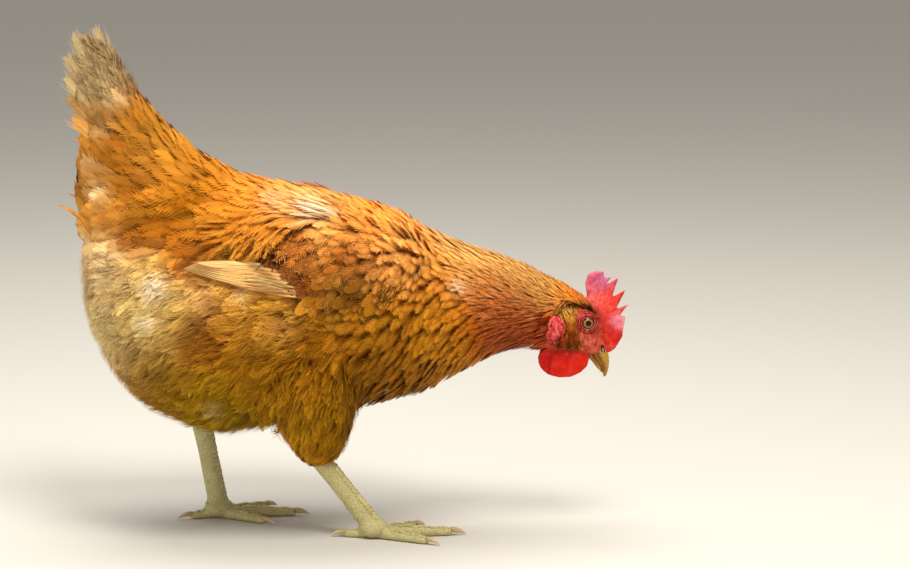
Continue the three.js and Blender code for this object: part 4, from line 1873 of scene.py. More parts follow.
    def projected(self, x: float, height: float, side: Side) -> tuple[Array, Array]:
        """The place and normal on the coat's outer face that shows at a point of the side view.

        Args:
            x: the point's X.
            height: its height on the middle plane.
            side: which side.

        Returns:
            The place and the normal.
        """
        far = 200.0
        start = Vector((x, side.value * far, height + SLANT * far))
        place, _, face, _ = self.outer.tree.ray_cast(start, Vector((0, -side.value, -SLANT)))
        found = self.outer.at(np.array([place]), np.array([face]))
        return found.points[0], found.normals[0]


# ---- Where each kind of feather grows, on the side view ----


def everywhere(points: Array) -> Array:
    """A full share at every point."""
    return np.ones(len(points))


def off_middle(points: Array, flank: Pair | None) -> Array | float:
    """The share of a flank, which fades in between two distances from the middle plane."""
    return 1.0 if flank is None else ease(*flank, np.abs(points[:, 1]))


@dataclass(frozen=True)
class Region:
    """A region drawn on the side view, with a soft edge, on both flanks or right across."""

    outline: Outline
    soft: float
    flank: Pair | None = None

    def __call__(self, points: Array) -> Array:
        """The region's share at each point."""
        return inside(points, self.outline, self.soft) * off_middle(points, self.flank)


@dataclass(frozen=True)
class Dots:
    """A region of soft round dots."""

    spots: tuple[Patch, ...]
    gain: float = 1.0
    flank: Pair | None = None

    def __call__(self, points: Array) -> Array:
        """The dots' share at each point."""
        held = np.sum([spot.hold(points) for spot in self.spots], axis=0)
        return np.clip(self.gain * held, 0, 1) * off_middle(points, self.flank)


@dataclass
class Regions:
    """The outlines of the coat's regions. The breast and the fluff fill what the others leave."""

    body: Body
    cape: Region = Region((
        (56, 240), (52, 222), (66, 206), (80, 184), (90, 160), (98, 141), (104, 120), (200, 110),
        (200, 220),
    ), 4)
    wing: Region = Region((
        (-70, 204), (-34, 222), (-21, 236), (10, 234), (40, 225), (57, 217), (61, 203), (50, 183),
        (30, 168), (14, 160), (-5, 163), (-22, 167), (-37, 175), (-54, 187),
    ), 4, (18, 34))
    saddle: Region = Region((
        (-192, 211), (-192, 198), (-150, 192), (-120, 194), (-75, 199), (-34, 223), (-21, 237),
        (10, 234), (40, 224), (60, 216), (70, 240), (0, 275), (-90, 300), (-96, 262),
    ), 5)
    tail: Region = Region((
        (-96, 262), (-192, 211), (-220, 205), (-220, 390), (-60, 390), (-80, 262),
    ), 6)
    tail_ends: Pair = (328, 314)
    flight: Region = Region((
        (-110, 193), (-92, 199), (-61, 198), (-52, 187), (-36, 175), (-22, 168), (-24, 163),
        (-70, 174),
    ), 3, (30, 45))
    near_flight: Region = Region((
        (-135, 215), (-135, 178), (-30, 145), (-5, 160), (-40, 200),
    ), 12)
    greater: Region = Region((
        (-24, 163), (-30, 176), (-8, 183), (14, 178), (28, 174), (24, 164), (4, 160),
    ), 3, (25, 40))
    fringe: Region = Region((
        (-98, 200), (-62, 203), (-38, 218), (-20, 232), (-14, 242), (-60, 236), (-100, 214),
    ), 4, (25, 40))
    ear_tuft: Region = Region((
        (155, 159), (158.5, 160), (162.5, 155), (163.5, 147), (160.5, 145), (158.5, 150),
    ), 1)
    cheek: Region = Region((
        (150, 158), (156, 165), (167, 162), (168, 140), (172, 131), (150, 129), (152, 137),
    ), 2)
    groin: Region = Region(((-76, 50), (-76, 74), (-50, 78), (-50, 50)), 3)
    groin_top: float = 84.0
    pale: Dots = Dots(patches(
        (-28, 232, 5, *SNOW), (-137, 179, 7, *SNOW), (-140, 151, 4, *SNOW), (79, 178, 3, *CREAM),
    ), 1.5, (20, 35))
    # brow: dark dots along the brow under the crown's edge, where the dark brow hairs grow; partly
    # dark feathers, partly painted shade.
    brow: Dots = Dots(patches(
        (155.5, 163.6, 1.5, *SOOT), (159, 164, 1.5, *SOOT), (163, 163.4, 1.5, *SOOT),
        (169, 163, 1.5, *SOOT), (174.5, 161.5, 1.5, *SOOT),
    ))
    flecks: Dots = Dots(patches(
        (-82, 196, 4, *SOOT), (-70, 203, 3.5, *SOOT), (-61, 207, 4, *SOOT),
        (-54, 199, 5, *SOOT, 0.8), (-41, 213, 4, *SOOT, 0.8), (27, 170, 5, *SOOT, 0.5),
    ), 1.0, (25, 40))
    divide: float = -24.0
    divide_half: float = 8.0
    divide_lean: float = 0.2
    head_cut: Pair = (141, 131)
    head_way: Pair = (0.94, 0.34)
    head_soft: Pair = (-6, 4)
    cheek_bare: float = 0.8

    def on_head(self, points: Array) -> Array:
        """The share of the crown and cheeks."""
        (x, z), (forward, down) = self.head_cut, self.head_way
        ahead = (points[:, 0] - x) * forward - (points[:, 2] - z) * down
        return ease(*self.head_soft, ahead)

    def on_crown(self, points: Array) -> Array:
        """The head without its cheeks."""
        return self.on_head(points) * (1 - self.cheek_bare * self.cheek(points))

    def on_cape(self, points: Array) -> Array:
        """The hackle's share: the neck, down to the ragged edge of the cape."""
        return self.cape(points) * (1 - self.on_head(points))

    def on_saddle(self, points: Array) -> Array:
        """The share of the back and saddle, which also covers what lies between the wings.

        Args:
            points: places on the hen, in millimetres.

        Returns:
            A share for each point.
        """
        near, far = self.wing.flank
        between = Region(self.wing.outline, self.wing.soft, (far, near))(points)
        return np.maximum(self.saddle(points), between) * (1 - self.on_cape(points))

    def on_tail(self, points: Array) -> Array:
        """The tail coverts' share, which leaves the ends of the tail feathers bare."""
        return self.tail(points) * ease(*self.tail_ends, shown(points)[1])

    def rest(self, points: Array) -> Array:
        """What no region above covers."""
        taken = [self.on_cape, self.on_head, self.wing, self.on_saddle, self.on_tail, self.flight]
        return 1 - np.clip(np.sum([region(points) for region in taken], axis=0), 0, 1)

    def ahead(self, points: Array) -> Array:
        """The share of what lies ahead of the line between the breast and the fluff."""
        place = points[:, 0] - self.divide_lean * (points[:, 2] - 120)
        return ease(self.divide - self.divide_half, self.divide + self.divide_half, place)

    def on_breast(self, points: Array) -> Array:
        """The share of the breast and flank."""
        return self.rest(points) * self.ahead(points) * (1 - self.on_thighs(points))

    def on_fluff(self, points: Array) -> Array:
        """The share of the soft rear and belly."""
        rear = self.rest(points) * (1 - self.ahead(points)) * (1 - self.on_thighs(points))
        return rear * (1 - self.groin(points) * (points[:, 2] < self.groin_top))

    def on_rear(self, points: Array) -> Array:
        """The fluff away from the flight feathers."""
        return self.on_fluff(points) * (1 - self.near_flight(points))

    def on_thighs(self, points: Array) -> Array:
        """The thighs' share."""
        return self.body.on_thigh(points) * (1 - self.groin(points))


CONTOUR = FeatherFinish("contour_feathers", barbs=17, stripe=0.8, shaft=0.2, edge=0.4, base=0.7)
COVERT = FeatherFinish(
    "covert_feathers", barbs=17, stripe=0.8, shaft=0.2, edge=0.5, base=0.7, gleam=0.45,
    rim=(1.0, 0.58, 0.22),
)
# The hackle's pale rim and strong gleam are painted highlight along its streaks.
HACKLE = FeatherFinish(
    "hackle_feathers", barbs=9, stripe=0.95, shaft=0.1, edge=0.12, base=0.6, gleam=0.6,
    rim=(1.0, 0.78, 0.46),
)
PLUME = FeatherFinish("plume_feathers", barbs=18, stripe=0.7, shaft=0.1, edge=0.35, base=0.4)
SOFT = FeatherFinish(
    "soft_feathers", barbs=18, stripe=0.4, shaft=0.1, edge=0.35, base=0.2, deep=(0.55, 0.34, 0.2)
)
BROAD = FeatherFinish("broad_coverts", barbs=26, stripe=0.5, shaft=0.5, edge=0.4, base=0.8)
DOWN = FeatherFinish("down", barbs=3, stripe=0.3, shaft=0.0, edge=0.0, base=0.9)
RUDDER = FeatherFinish(
    "tail_feathers", barbs=60, stripe=0.7, shaft=0.5, edge=0.3, base=0.4, rim=SNOW
)
# The quills' dark rim colour is laid where the other finishes lay their pale rim: on each quill's
# edges it is painted shade for the dark lines where the quills lap, and it also darkens the stripes
# and the shaft.
QUILL = FeatherFinish(
    "quill_feathers", barbs=50, stripe=0.3, shaft=0.5, edge=0.9, base=0.1, gleam=0.8,
    rim=(0.2, 0.07, 0.015),
)


def tracts(regions: Regions) -> list[Tract]:
    """Every tract of the coat, from the crown to the thighs.

    Args:
        regions: where each tract grows.

    Returns:
        The tracts, in the order in which they grow.
    """
    return [
        Tract(
            "crown_feathers", regions.on_crown, Vane(4, 0.3, point=1.0, base=0.25), HACKLE, 6.5,
            1.1, 1.15, 11, start=0.3, lift=0.15, turn=10, odd=0.3, streak=0.3, local=0.9,
            ruffle=0.3,
        ),
        Tract(
            "ear_tuft", regions.ear_tuft, Vane(5, 0.5, point=1.2, base=0.2), CONTOUR, 8.5, 1.1, 1.2,
            24, start=0.6, lift=2.6, turn=5, odd=0.2, local=0.4, ruffle=0.1, tuft=(4.0, 0.4),
        ),
        # Dark hairs along the brow: partly dark feathers, partly painted shade under the crown's
        # edge.
        Tract(
            "brow_hairs", regions.brow, Hair(), DOWN, 5.0, 0.32, 0.6, 28, start=0.8, lift=1.1,
            turn=8, odd=0.3, dark=0.75, ruffle=0.0,
        ),
        Tract(
            "cheek_hairs", regions.cheek, Hair(), DOWN, 6.5, 0.32, 0.75, 25, start=0.4, lift=0.7,
            turn=14, odd=0.35, local=0.8, ruffle=0.2,
        ),
        Tract(
            "hackle", regions.on_cape, Vane(6, 0.4, point=1.1, base=0.22, narrow=0.8), HACKLE, 31.0,
            2.3, 2.5, 12, grade=((50, 1.05), (90, 0.88), (140, 0.46)), start=0.12, lift=0.6, turn=6,
            odd=0.24, streak=0.25, ruffle=0.5,
        ),
        Tract(
            "breast_feathers", regions.on_breast, Vane(9, 0.55, fray=0.4, point=0.62), CONTOUR,
            24.0, 5.4, 4.9, 13, grade=((-20, 1.05), (40, 0.95), (90, 0.7)), lift=0.5, turn=11,
            roll=9,
        ),
        Tract(
            "wing_coverts", regions.wing, Vane(9, 0.55, fray=0.4, point=0.6), COVERT, 26.0, 6.5,
            4.4, 14, grade=((-60, 1.25), (0, 1.05), (55, 0.78)), lift=0.9, turn=13, roll=10,
            odd=0.22, ruffle=1.3,
        ),
        Tract(
            "greater_coverts", regions.greater, Vane(10, 0.14, point=0.62), BROAD, 32.0, 5.6, 8.0,
            23, lift=2.2, turn=8, roll=8,
        ),
        Tract(
            "saddle_fringe", regions.fringe, Vane(7, 0.7, fray=0.6, point=0.8), PLUME, 27.0, 3.8,
            2.9, 21, rise=0.4, start=0.5, lift=6.0, turn=9, roll=9, odd=0.16,
        ),
        Tract(
            "dark_flecks", regions.flecks, Hair(), DOWN, 10.0, 0.32, 1.6, 22, lift=6.8, start=1.0,
            turn=14, odd=0.5, dark=0.85,
        ),
        Tract(
            "saddle", regions.on_saddle, Vane(9, 0.6, fray=0.4, point=0.6), SOFT, 30.0, 7.0, 4.3,
            15, grade=((-100, 1.15), (0, 0.95), (50, 0.85)), lift=0.3, turn=10, roll=5, ruffle=0.45,
            sides=True,
        ),
        Tract(
            "tail_coverts", regions.on_tail, Vane(10, 0.5, fray=0.5), SOFT, 34.0, 7.6, 4.8, 16,
            lift=0.6, turn=12, roll=7,
        ),
        Tract(
            "fluff", regions.on_fluff, Vane(8, 0.8, fray=0.6), PLUME, 22.0, 4.8, 3.4, 17, lift=1.0,
            turn=13, roll=16, ruffle=1.4, tuft=(11.0, 0.5), sides=True,
        ),
        Tract(
            "thigh_feathers", regions.on_thighs, Vane(5, 0.7, fray=0.4, point=0.9), PLUME, 14.0,
            2.4, 2.5, 18, grade=((-120, 1.0),), lift=0.8, turn=9, odd=0.22, tuft=(6.0, 0.45),
        ),
        Tract(
            "fluff_wisps", regions.on_fluff, Hair(), DOWN, 18.0, 0.42, 1.6, 19, lift=2.4, turn=16,
            odd=0.24, ruffle=1.4, tuft=(9.0, 0.8),
        ),
        Tract(
            "pale_tufts", regions.pale, Vane(6, 0.8, fray=0.6), SOFT, 9.0, 2.0, 1.7, 29, start=0.8,
            lift=1.8, turn=28, roll=18, odd=0.1, local=0.7, tuft=(6.0, 0.3),
        ),
        Tract(
            "fluff_haze", regions.on_rear, Hair(), DOWN, 15.0, 0.26, 2.0, 26, start=0.5, lift=5.0,
            turn=22, odd=0.2, tuft=(8.0, 0.5),
        ),
        Tract(
            "thigh_wisps", regions.on_thighs, Hair(), DOWN, 12.0, 0.3, 1.6, 27, start=0.5, lift=2.2,
            turn=12, odd=0.3, tuft=(5.0, 0.7),
        ),
    ]


@dataclass
class Quills:
    """The long feathers that are placed one by one: the tail's and the folded flight feathers."""

    coat: Coat
    tips: tuple[Triple, ...] = (
        (-179.5, 365, 2), (-188, 361, 4.5), (-196, 361, 7.5), (-200, 346, 10.5), (-201, 331, 13.5),
        (-198, 318, 16.5), (-196, 304, 19), (-191, 290, 21),
    )
    root: Triple = (-138.0, 8.0, 262.0)
    tail_vane: Vane = Vane(26, 0.42, fray=1.0, base=0.04, point=0.55, narrow=0.4, camber=0.12)
    tail_half: float = 9.0
    flight_count: int = 7
    flight_root: Quad = (-18.0, 169.5, -52.0, 191.5)
    flight_tip: Quad = (-112.5, 189.8, -103.0, 193.0)
    flight_vane: Vane = Vane(30, 0.06, fray=0.3, base=0.03, point=1.0, narrow=0.6, camber=0.22)
    flight_half: float = 4.4
    flight_steps: int = 9

    strays: tuple[tuple[float, ...], ...] = (
        (-180, 212, -205, 236, -5.0), (24, 99, 4, 88, -2.0), (52, 108, 32, 97, -2.0),
        (84, 121, 66, 110, -1.5),
    )
    stray_vane: Vane = Vane(9, 0.5, fray=0.5, point=0.9)
    stray_half: float = 2.2
    seed: int = 31

    def tract(self, name: str, vane: Vane, finish: FeatherFinish, width: float, seed: int) -> Tract:
        """A kind of quill feather; its length and spacing aren't used."""
        return Tract(
            name, everywhere, vane, finish, 100.0, width, 10.0, seed, roll=2.0, odd=0.1,
            streak=0.12, local=0.12,
        )

    def loose(self, rng: Rng) -> Piece:
        """The few loose feathers that curl away from the rump, the breast and the belly.

        Args:
            rng: the random numbers.

        Returns:
            The piece.
        """
        lines, normals = [], []
        share = np.linspace(0, 1, self.coat.steps)[:, None]
        for x0, h0, x1, h1, bow in self.strays:
            for side in Side:
                place, _ = self.coat.projected(x0, h0, side)
                end = place + np.array([x1 - x0, side.value * rng.normal(0, 3), h1 - h0])
                across = unit(np.array([h0 - h1, 0, x1 - x0]))
                lines.append(place + (end - place) * share + across * bow * np.sin(share * math.pi))
                out = unit(np.array([-0.2, side.value, 0.4]))
                normals.append(np.tile(out, (self.coat.steps, 1)))
        tract = self.tract("loose_feathers", self.stray_vane, PLUME, self.stray_half, 34)
        return self.dressed("loose_feathers", tract, np.stack(lines), np.stack(normals), rng)

    def build(self) -> list[Piece]:
        """Builds the tail feathers, the loose feathers, and each wing's flight feathers."""
        rng = np.random.default_rng(self.seed)
        return [self.tail(rng), self.loose(rng)] + [self.wing(side, rng) for side in Side]

    def tail(self, rng: Rng) -> Piece:
        """The tail feathers as a tent of vanes, from the top pair outwards.

        Args:
            rng: the random numbers.

        Returns:
            The piece.
        """
        lines, normals = [], []
        share = np.linspace(0, 1, self.coat.steps)[:, None]
        for side in Side:
            for number, (x, z, y) in enumerate(self.tips):
                start = np.array(self.root) * (1, side.value, 1) + (0, 0, -3.0 * number)
                end = np.array([x, side.value * y, z]) + rng.normal(0, 0.6, 3) * (1, 0.3, 1)
                bow = np.sin(share * math.pi) * (-1.5, side.value * (1.5 + 0.5 * number), 3.0)
                lines.append(start + (end - start) * share + bow)
                out = unit(np.array([0.1, side.value * 1.0, 0.28]))
                normals.append(np.tile(out, (self.coat.steps, 1)))
        tract = self.tract("tail_feathers", self.tail_vane, RUDDER, self.tail_half, 32)
        return self.dressed("tail_feathers", tract, np.stack(lines), np.stack(normals), rng)

    def wing(self, side: Side, rng: Rng) -> Piece:
        """One folded wing's flight feathers, each lapping over the one below it.

        Args:
            side: which side.
            rng: the random numbers.

        Returns:
            The piece.
        """
        lines, normals = [], []
        share = np.linspace(0, 1, self.flight_steps)
        x0, h0, x1, h1 = self.flight_root
        x2, h2, x3, h3 = self.flight_tip
        for number in range(self.flight_count):
            k = number / (self.flight_count - 1)
            shaft = []
            for s in share:
                x = mix(mix(x0, x1, k), mix(x2, x3, k), s)
                height = mix(mix(h0, h1, k), mix(h2, h3, k), s) - 1.0 * math.sin(s * math.pi)
                place, normal = self.coat.projected(x, height, side)
                high = mix(-2.2, 4.0 + 0.45 * number, float(ease(0.0, 0.3, s)))
                shaft.append((place + normal * high, normal))
            lines.append([p for p, _ in shaft])
            normals.append([n for _, n in shaft])
        tract = self.tract("quills", self.flight_vane, QUILL, self.flight_half, 33)
        name = f"wing_quills_{side.word}"
        return self.dressed(name, tract, np.array(lines), np.array(normals), rng)

    def dressed(self, name: str, tract: Tract, lines: Array, normals: Array, rng: Rng) -> Piece:
        """Makes the vanes of one piece.

        Args:
            name: the piece's name.
            tract: the kind of feather.
            lines: the shafts' points, feather by feather.
            normals: the outward direction at them.
            rng: the random numbers.

        Returns:
            The piece.
        """
        width = np.full(len(lines), tract.width)
        colour = self.coat.markings.plumage(lines[:, -2])
        if name.startswith("wing"):
            colour = np.tile(np.array(self.coat.markings.flight), (len(lines), 1))
        uv = self.coat.charted(self.coat.outer.nearest(lines[:, 0]))
        return self.coat.feathered(name, tract, lines, normals, width, colour, uv, rng)


# ---- Legs, claws, bill and eyes ----

TOES = ("inner", "middle", "outer", "hind")


@dataclass
class Legs:
    """The scaly shanks and toes of both feet."""

    voxel: float = 1.1
    grown: float = 0.25
    smoothing: int = 5

    def build(self) -> None:
        """Builds the legs' skin as one surface for each foot."""
        nodes = [f"{n}_{s.word}" for s in Side for n in ("shank", *(f"toe_{t}" for t in TOES))]
        parts = [copied(n, self.grown) for n in nodes]
        self.piece = remeshed(joined("leg_skin", parts), self.voxel)
        smooth_points(self.piece, self.smoothing)
        points = points_of(self.piece)
        points[:, 2] = np.maximum(points[:, 2], 0.0)
        move_points(self.piece, points)
        self.surface = Surface(self.piece)


@dataclass
class Scutes:
    """The overlapping plates down the front of the shanks and along the toes."""

    length: float = 4.4
    thick: float = 1.3
    step: float = 3.3
    shank_width: float = 5.4
    toe_width: float = 5.0
    toe_taper: float = 0.72
    shank_run: Pair = (0.86, 0.12)
    toe_run: Pair = (0.3, 0.97)
    apart: float = 2.5
    tilt: float = 8.0
    uneven: float = 0.1
    seed: int = 41
    tone: float = 0.07

    def tree(self) -> bpy.types.GeometryNodeTree:
        """Sets a flat plate on every point of a row, turned to lie along it.

        Returns:
            The node tree.
        """
        tree = bpy.data.node_groups.new("scute_rows", "GeometryNodeTree")
        sockets = {"Geometry": "Geometry", "Length": "Float", "Thickness": "Float"}
        sockets |= {"Unevenness": "Float", "Seed": "Int", "Material": "Material"}
        for name, kind in sockets.items():
            tree.interface.new_socket(name, in_out="INPUT", socket_type="NodeSocket" + kind)
        tree.interface.new_socket("Geometry", in_out="OUTPUT", socket_type="NodeSocketGeometry")

        def node(kind: str, inputs: dict, **settings: object) -> bpy.types.Node:
            """Adds a node with these inputs and settings."""
            return add_node(tree, kind, inputs, settings)

        def named(name: str, kind: str) -> Socket:
            """Reads what the points carry under a name."""
            given = {"Name": name}
            return node("GeometryNodeInputNamedAttribute", given, data_type=kind).outputs[0]

        given = tree.nodes.new("NodeGroupInput").outputs
        align = "FunctionNodeAlignEulerToVector"
        ball = node("GeometryNodeMeshUVSphere", {"Segments": 10, "Rings": 5, "Radius": 0.5})
        up = node(align, {"Vector": named("Outward", "FLOAT_VECTOR")}, axis="Z")
        lie = {"Rotation": up.outputs[0], "Vector": named("Ahead", "FLOAT_VECTOR")}
        ahead = node(align, lie, axis="X", pivot_axis="Z")
        low, high = (
            node("ShaderNodeMath", {0: 1.0, 1: given["Unevenness"]}, operation=kind).outputs[0]
            for kind in ("SUBTRACT", "ADD")
        )
        between = {2: low, 3: high, "Seed": given["Seed"]}
        spread = node("FunctionNodeRandomValue", between, data_type="FLOAT")
        sizes = {"X": given["Length"], "Y": named("Width", "FLOAT"), "Z": given["Thickness"]}
        size = node("ShaderNodeCombineXYZ", sizes)
        scaled = {0: size.outputs[0], "Scale": spread.outputs[1]}
        scale = node("ShaderNodeVectorMath", scaled, operation="SCALE")
        points = node("GeometryNodeMeshToPoints", {"Mesh": given["Geometry"]})
        plates = {"Points": points.outputs[0], "Instance": ball.outputs["Mesh"]}
        plates |= {"Rotation": ahead.outputs[0], "Scale": scale.outputs[0]}
        placed = node("GeometryNodeInstanceOnPoints", plates)
        real = node("GeometryNodeRealizeInstances", {"Geometry": placed.outputs[0]})
        made = {"Geometry": real.outputs[0], "Material": given["Material"]}
        faced = node("GeometryNodeSetMaterial", made)
        out = tree.nodes.new("NodeGroupOutput")
        tree.links.new(faced.outputs[0], out.inputs["Geometry"])
        return tree

    def rows(self, legs: Legs, side: Side) -> Iterable[tuple[Array, Array, float]]:
        """The rows of one leg: points on the skin, outward directions and the plates' width.

        Args:
            legs: the legs that carry the plates.
            side: which side.

        Returns:
            A row at a time.
        """
        shank = points_of(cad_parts[f"shank_{side.word}"])
        high = shank[:, 2]
        top, foot = shank[high > high.max() - 12].mean(0), shank[high < 6].mean(0)
        start, end = (mix(foot, top, share) for share in self.shank_run)
        for across in (-0.5, 0.5):
            yield (*self.row(legs, start, end, (0.9, 0, 0.2), across), self.shank_width)
        for toe in TOES:
            far = points_of(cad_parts[f"toe_{toe}_{side.word}"])
            tip = far[np.linalg.norm(far - foot, axis=1).argmax()]
            near = mix(foot * (1, 1, 0) + (0, 0, 6), tip * (1, 1, 0) + (0, 0, 4), self.toe_run[0])
            end = mix(near, tip * (1, 1, 0) + (0, 0, 3), self.toe_run[1])
            yield (*self.row(legs, near, end, (0, 0, 1), 0.0), self.toe_width)

    def row(
        self, legs: Legs, start: Array, end: Array, out: Sequence[float], across: float
    ) -> tuple[Array, Array]:
        """One row of points on the skin over the line from start to end.

        Args:
            legs: the legs whose skin carries the plates.
            start: where the line inside the leg starts.
            end: where it ends.
            out: the way from the line to the row.
            across: how far beside the middle the row runs, in rows.

        Returns:
            The points and the skin's outward directions there.
        """
        count = int(np.linalg.norm(end - start) / self.step)
        ahead = unit(end - start)
        out = unit(np.array(out) - ahead * (np.array(out) @ ahead))
        aside = np.cross(ahead, out) * across * self.apart * 2
        points, normals = [], []
        for k in range(count):
            inner = mix(start, end, (k + 0.5 + 0.4 * across) / count) + aside
            hit = legs.surface.tree.ray_cast(Vector(inner + out * 25), Vector(-out))
            if hit[0] is not None:
                found = legs.surface.at(np.array([hit[0]]), np.array([hit[2]]))
                points.append(found.points[0])
                normals.append(found.normals[0])
        return np.array(points), np.array(normals)

    def build(self, legs: Legs, side: Side) -> Piece:
        """Builds the plates of one leg.

        Args:
            legs: the legs that carry the plates.
            side: which side.

        Returns:
            The piece.
        """
        rng = np.random.default_rng(self.seed)
        at, outward, ahead, width = [], [], [], []
        for points, normals, wide in self.rows(legs, side):
            way = unit(np.gradient(points, axis=0))
            lean = math.radians(self.tilt)
            at.append(points)
            outward.append(normals * math.cos(lean) + way * math.sin(lean))
            ahead.append(way * math.cos(lean) - normals * math.sin(lean))
            taper = self.toe_taper if wide == self.toe_width else 1.0
            width.append(np.linspace(wide, wide * taper, len(points)))
        at = np.concatenate(at)
        mesh = bpy.data.meshes.new(f"scutes_{side.word}")
        mesh.from_pydata((at * MM).tolist(), [], [])
        piece = linked(mesh.name, mesh)
        for name, values in (("Outward", outward), ("Ahead", ahead)):
            store(piece, name, np.concatenate(values))
        store(piece, "Width", np.concatenate(width) * MM)
        tree = self.tree()
        rows = piece.modifiers.new("Scutes", "NODES")
        rows.node_group = tree
        values = {
            "Length": self.length * MM,
            "Thickness": self.thick * MM,
            "Unevenness": self.uneven,
            "Seed": self.seed,
            "Material": LegFinish("scute_horn", scales=260.0).material(),
        }
        for item in tree.interface.items_tree:
            if item.item_type == "SOCKET" and item.in_out == "INPUT" and item.name in values:
                rows[item.identifier] = values[item.name]
        applied(piece)
        piece.data.materials.pop(index=0)  # the empty slot that the points had
        each = len(piece.data.vertices) // len(at)
        tone = 1 + self.tone * rng.normal(0, 1, (len(at), 1))
        colour = np.repeat(np.array(Markings().leg) * 1.06 * tone, each, 0)
        paint(piece, np.clip(colour, 0, 1))
        return piece


@dataclass
class Claws:
    """The claws, dark at the quick and pale at the tip."""

    voxel: float = 0.42
    grown: float = 0.05
    smoothing: int = 4
    root: Colour = (0.36, 0.22, 0.1)
    tip: Colour = (0.62, 0.5, 0.3)

    def build(self, side: Side) -> Piece:
        """Builds the four claws of one foot.

        Args:
            side: which foot.

        Returns:
            The piece.
        """
        parts, ends = [], []
        for toe in TOES:
            part = copied(f"claw_{toe}_{side.word}", self.grown)
            points = points_of(part)
            foot = points_of(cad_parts[f"toe_{toe}_{side.word}"]).mean(0)
            far = np.linalg.norm(points - foot, axis=1)
            ends.append((points[far.argmin()], points[far.argmax()]))
            parts.append(part)
        piece = remeshed(joined(f"claws_{side.word}", parts), self.voxel)
        smooth_points(piece, self.smoothing)
        points = points_of(piece)
        growth, near = np.zeros(len(points)), np.full(len(points), 1e9)
        for start, end in ends:
            along, away = beside(points, start, end)
            growth = np.where(away < near, along, growth)
            near = np.minimum(near, away)
        points[:, 2] = np.maximum(points[:, 2], 0.0)
        move_points(piece, points)
        paint(piece, mix(np.array(self.root), np.array(self.tip), growth[:, None]))
        store(piece, "Growth", growth)
        piece.data.materials.append(HornFinish("claw_horn").material())
        return piece


@dataclass
class Bill:
    """The two halves of the bill."""

    voxel: float = 0.34
    grown: float = 0.12
    smoothing: int = 10
    growth_lines: float = 60.0
    line_depth: float = 0.08
    root: Pair = (180.0, 134.0)
    tip: Pair = (185.8, 111.3)
    closed: float = 0.9
    horn: Colour = (0.42, 0.19, 0.012)
    dark: Colour = (0.14, 0.045, 0.003)
    edge: Colour = (0.52, 0.28, 0.02)

    def build(self, node: str) -> Piece:
        """Builds one half from its CAD node.

        Args:
            node: the CAD node.

        Returns:
            The piece.
        """
        name = node.replace("_bill", "_mandible")
        piece = remeshed(joined(name, [copied(node, self.grown)]), self.voxel)
        smooth_points(piece, self.smoothing)
        points = points_of(piece)
        axis = np.array(self.tip) - self.root
        if node == "lower_bill":
            points[:, 0] += self.closed * ease(131, 120, points[:, 2])
        growth = np.clip(((points[:, (0, 2)] - self.root) @ axis) / (axis @ axis), 0, 1)
        forward = points[:, 0] - np.interp(points[:, 2], (111, 121, 134), (185.6, 184.5, 178.5))
        cloud = wrinkle(points, 5.0, 3)
        wave = self.line_depth * np.sin(growth * self.growth_lines + 3 * cloud)
        points += normals_of(piece) * (wave * ease(0.9, 0.2, growth))[:, None]
        move_points(piece, points)
        middle = np.exp(-(((forward + 0.4 * cloud) / 1.4) ** 2)) * ease(1.0, 0.7, growth)
        below = ease(-1.2, -2.6, forward + 0.5 * cloud)
        ridge = ease(2.2, 4.2, forward + 0.5 * cloud) * 0.7 + ease(0.75, 1.0, growth) * 0.4
        horn, dark, edge = (np.array(c) for c in (self.horn, self.dark, self.edge))
        colour = mix(horn, edge, np.clip(ridge + 0.8 * below, 0, 1)[:, None])
        colour = mix(colour, dark, middle[:, None])
        if node == "lower_bill":
            colour = mix(colour, dark, 0.75 * ease(-2.6, -4.6, forward)[:, None])
        paint(piece, colour)
        store(piece, "Growth", growth)
        piece.data.materials.append(HornFinish("bill_horn").material())
        return piece


@dataclass
class Eyes:
    """The eyeballs, with a slight bulge in front."""

    head: Head
    rings: int = 40
    sides: int = 64
    bulge: float = 0.35
    finish: EyeFinish = EyeFinish()

    def build(self, side: Side) -> Piece:
        """Builds one eye.

        Args:
            side: which eye.

        Returns:
            The piece.
        """
        centre, axis, level = self.head.eye_frame(side)
        up = np.cross(axis, level) * -side.value
        fall = np.linspace(0, math.pi, self.rings + 1)[1:-1]
        turn = np.arange(self.sides) / self.sides * 2 * math.pi
        p, t = (g.ravel() for g in np.meshgrid(fall, turn, indexing="ij"))
        p, t = np.append(p, (0, math.pi)), np.append(t, (0, 0))
        away = self.head.eye_radius * np.sin(p)
        high = self.head.eye_radius * np.cos(p) + self.bulge * ease(5.2, 1.0, away) * (p < 1.5)
        flat = away[:, None] * (np.cos(t)[:, None] * level + np.sin(t)[:, None] * up)
        points = centre + flat + high[:, None] * axis
        k = np.arange(self.sides)
        after = (k + 1) % self.sides
        faces = []
        for ring in range(self.rings - 2):
            a, b = ring * self.sides, (ring + 1) * self.sides
            faces.append(np.stack([a + k, b + k, b + after, a + after], 1))
        last = (self.rings - 2) * self.sides
        poles = len(points) - 2
        caps = [
            np.stack([np.full(self.sides, poles), k, after], 1),
            np.stack([np.full(self.sides, poles + 1), last + after, last + k], 1),
        ]
        if side is Side.RIGHT:
            faces, caps = [f[:, ::-1] for f in faces], [f[:, ::-1] for f in caps]
        faces = [np.concatenate(faces), np.concatenate(caps)]
        piece = new_mesh(f"eyeball_{side.word}", points, faces)
        gaze = np.stack([np.cos(t), np.sin(t), np.where(p < 1.5, away, 9.0)], 1)
        store(piece, "Gaze", gaze)
        piece.data.materials.append(self.finish.material())
        return piece


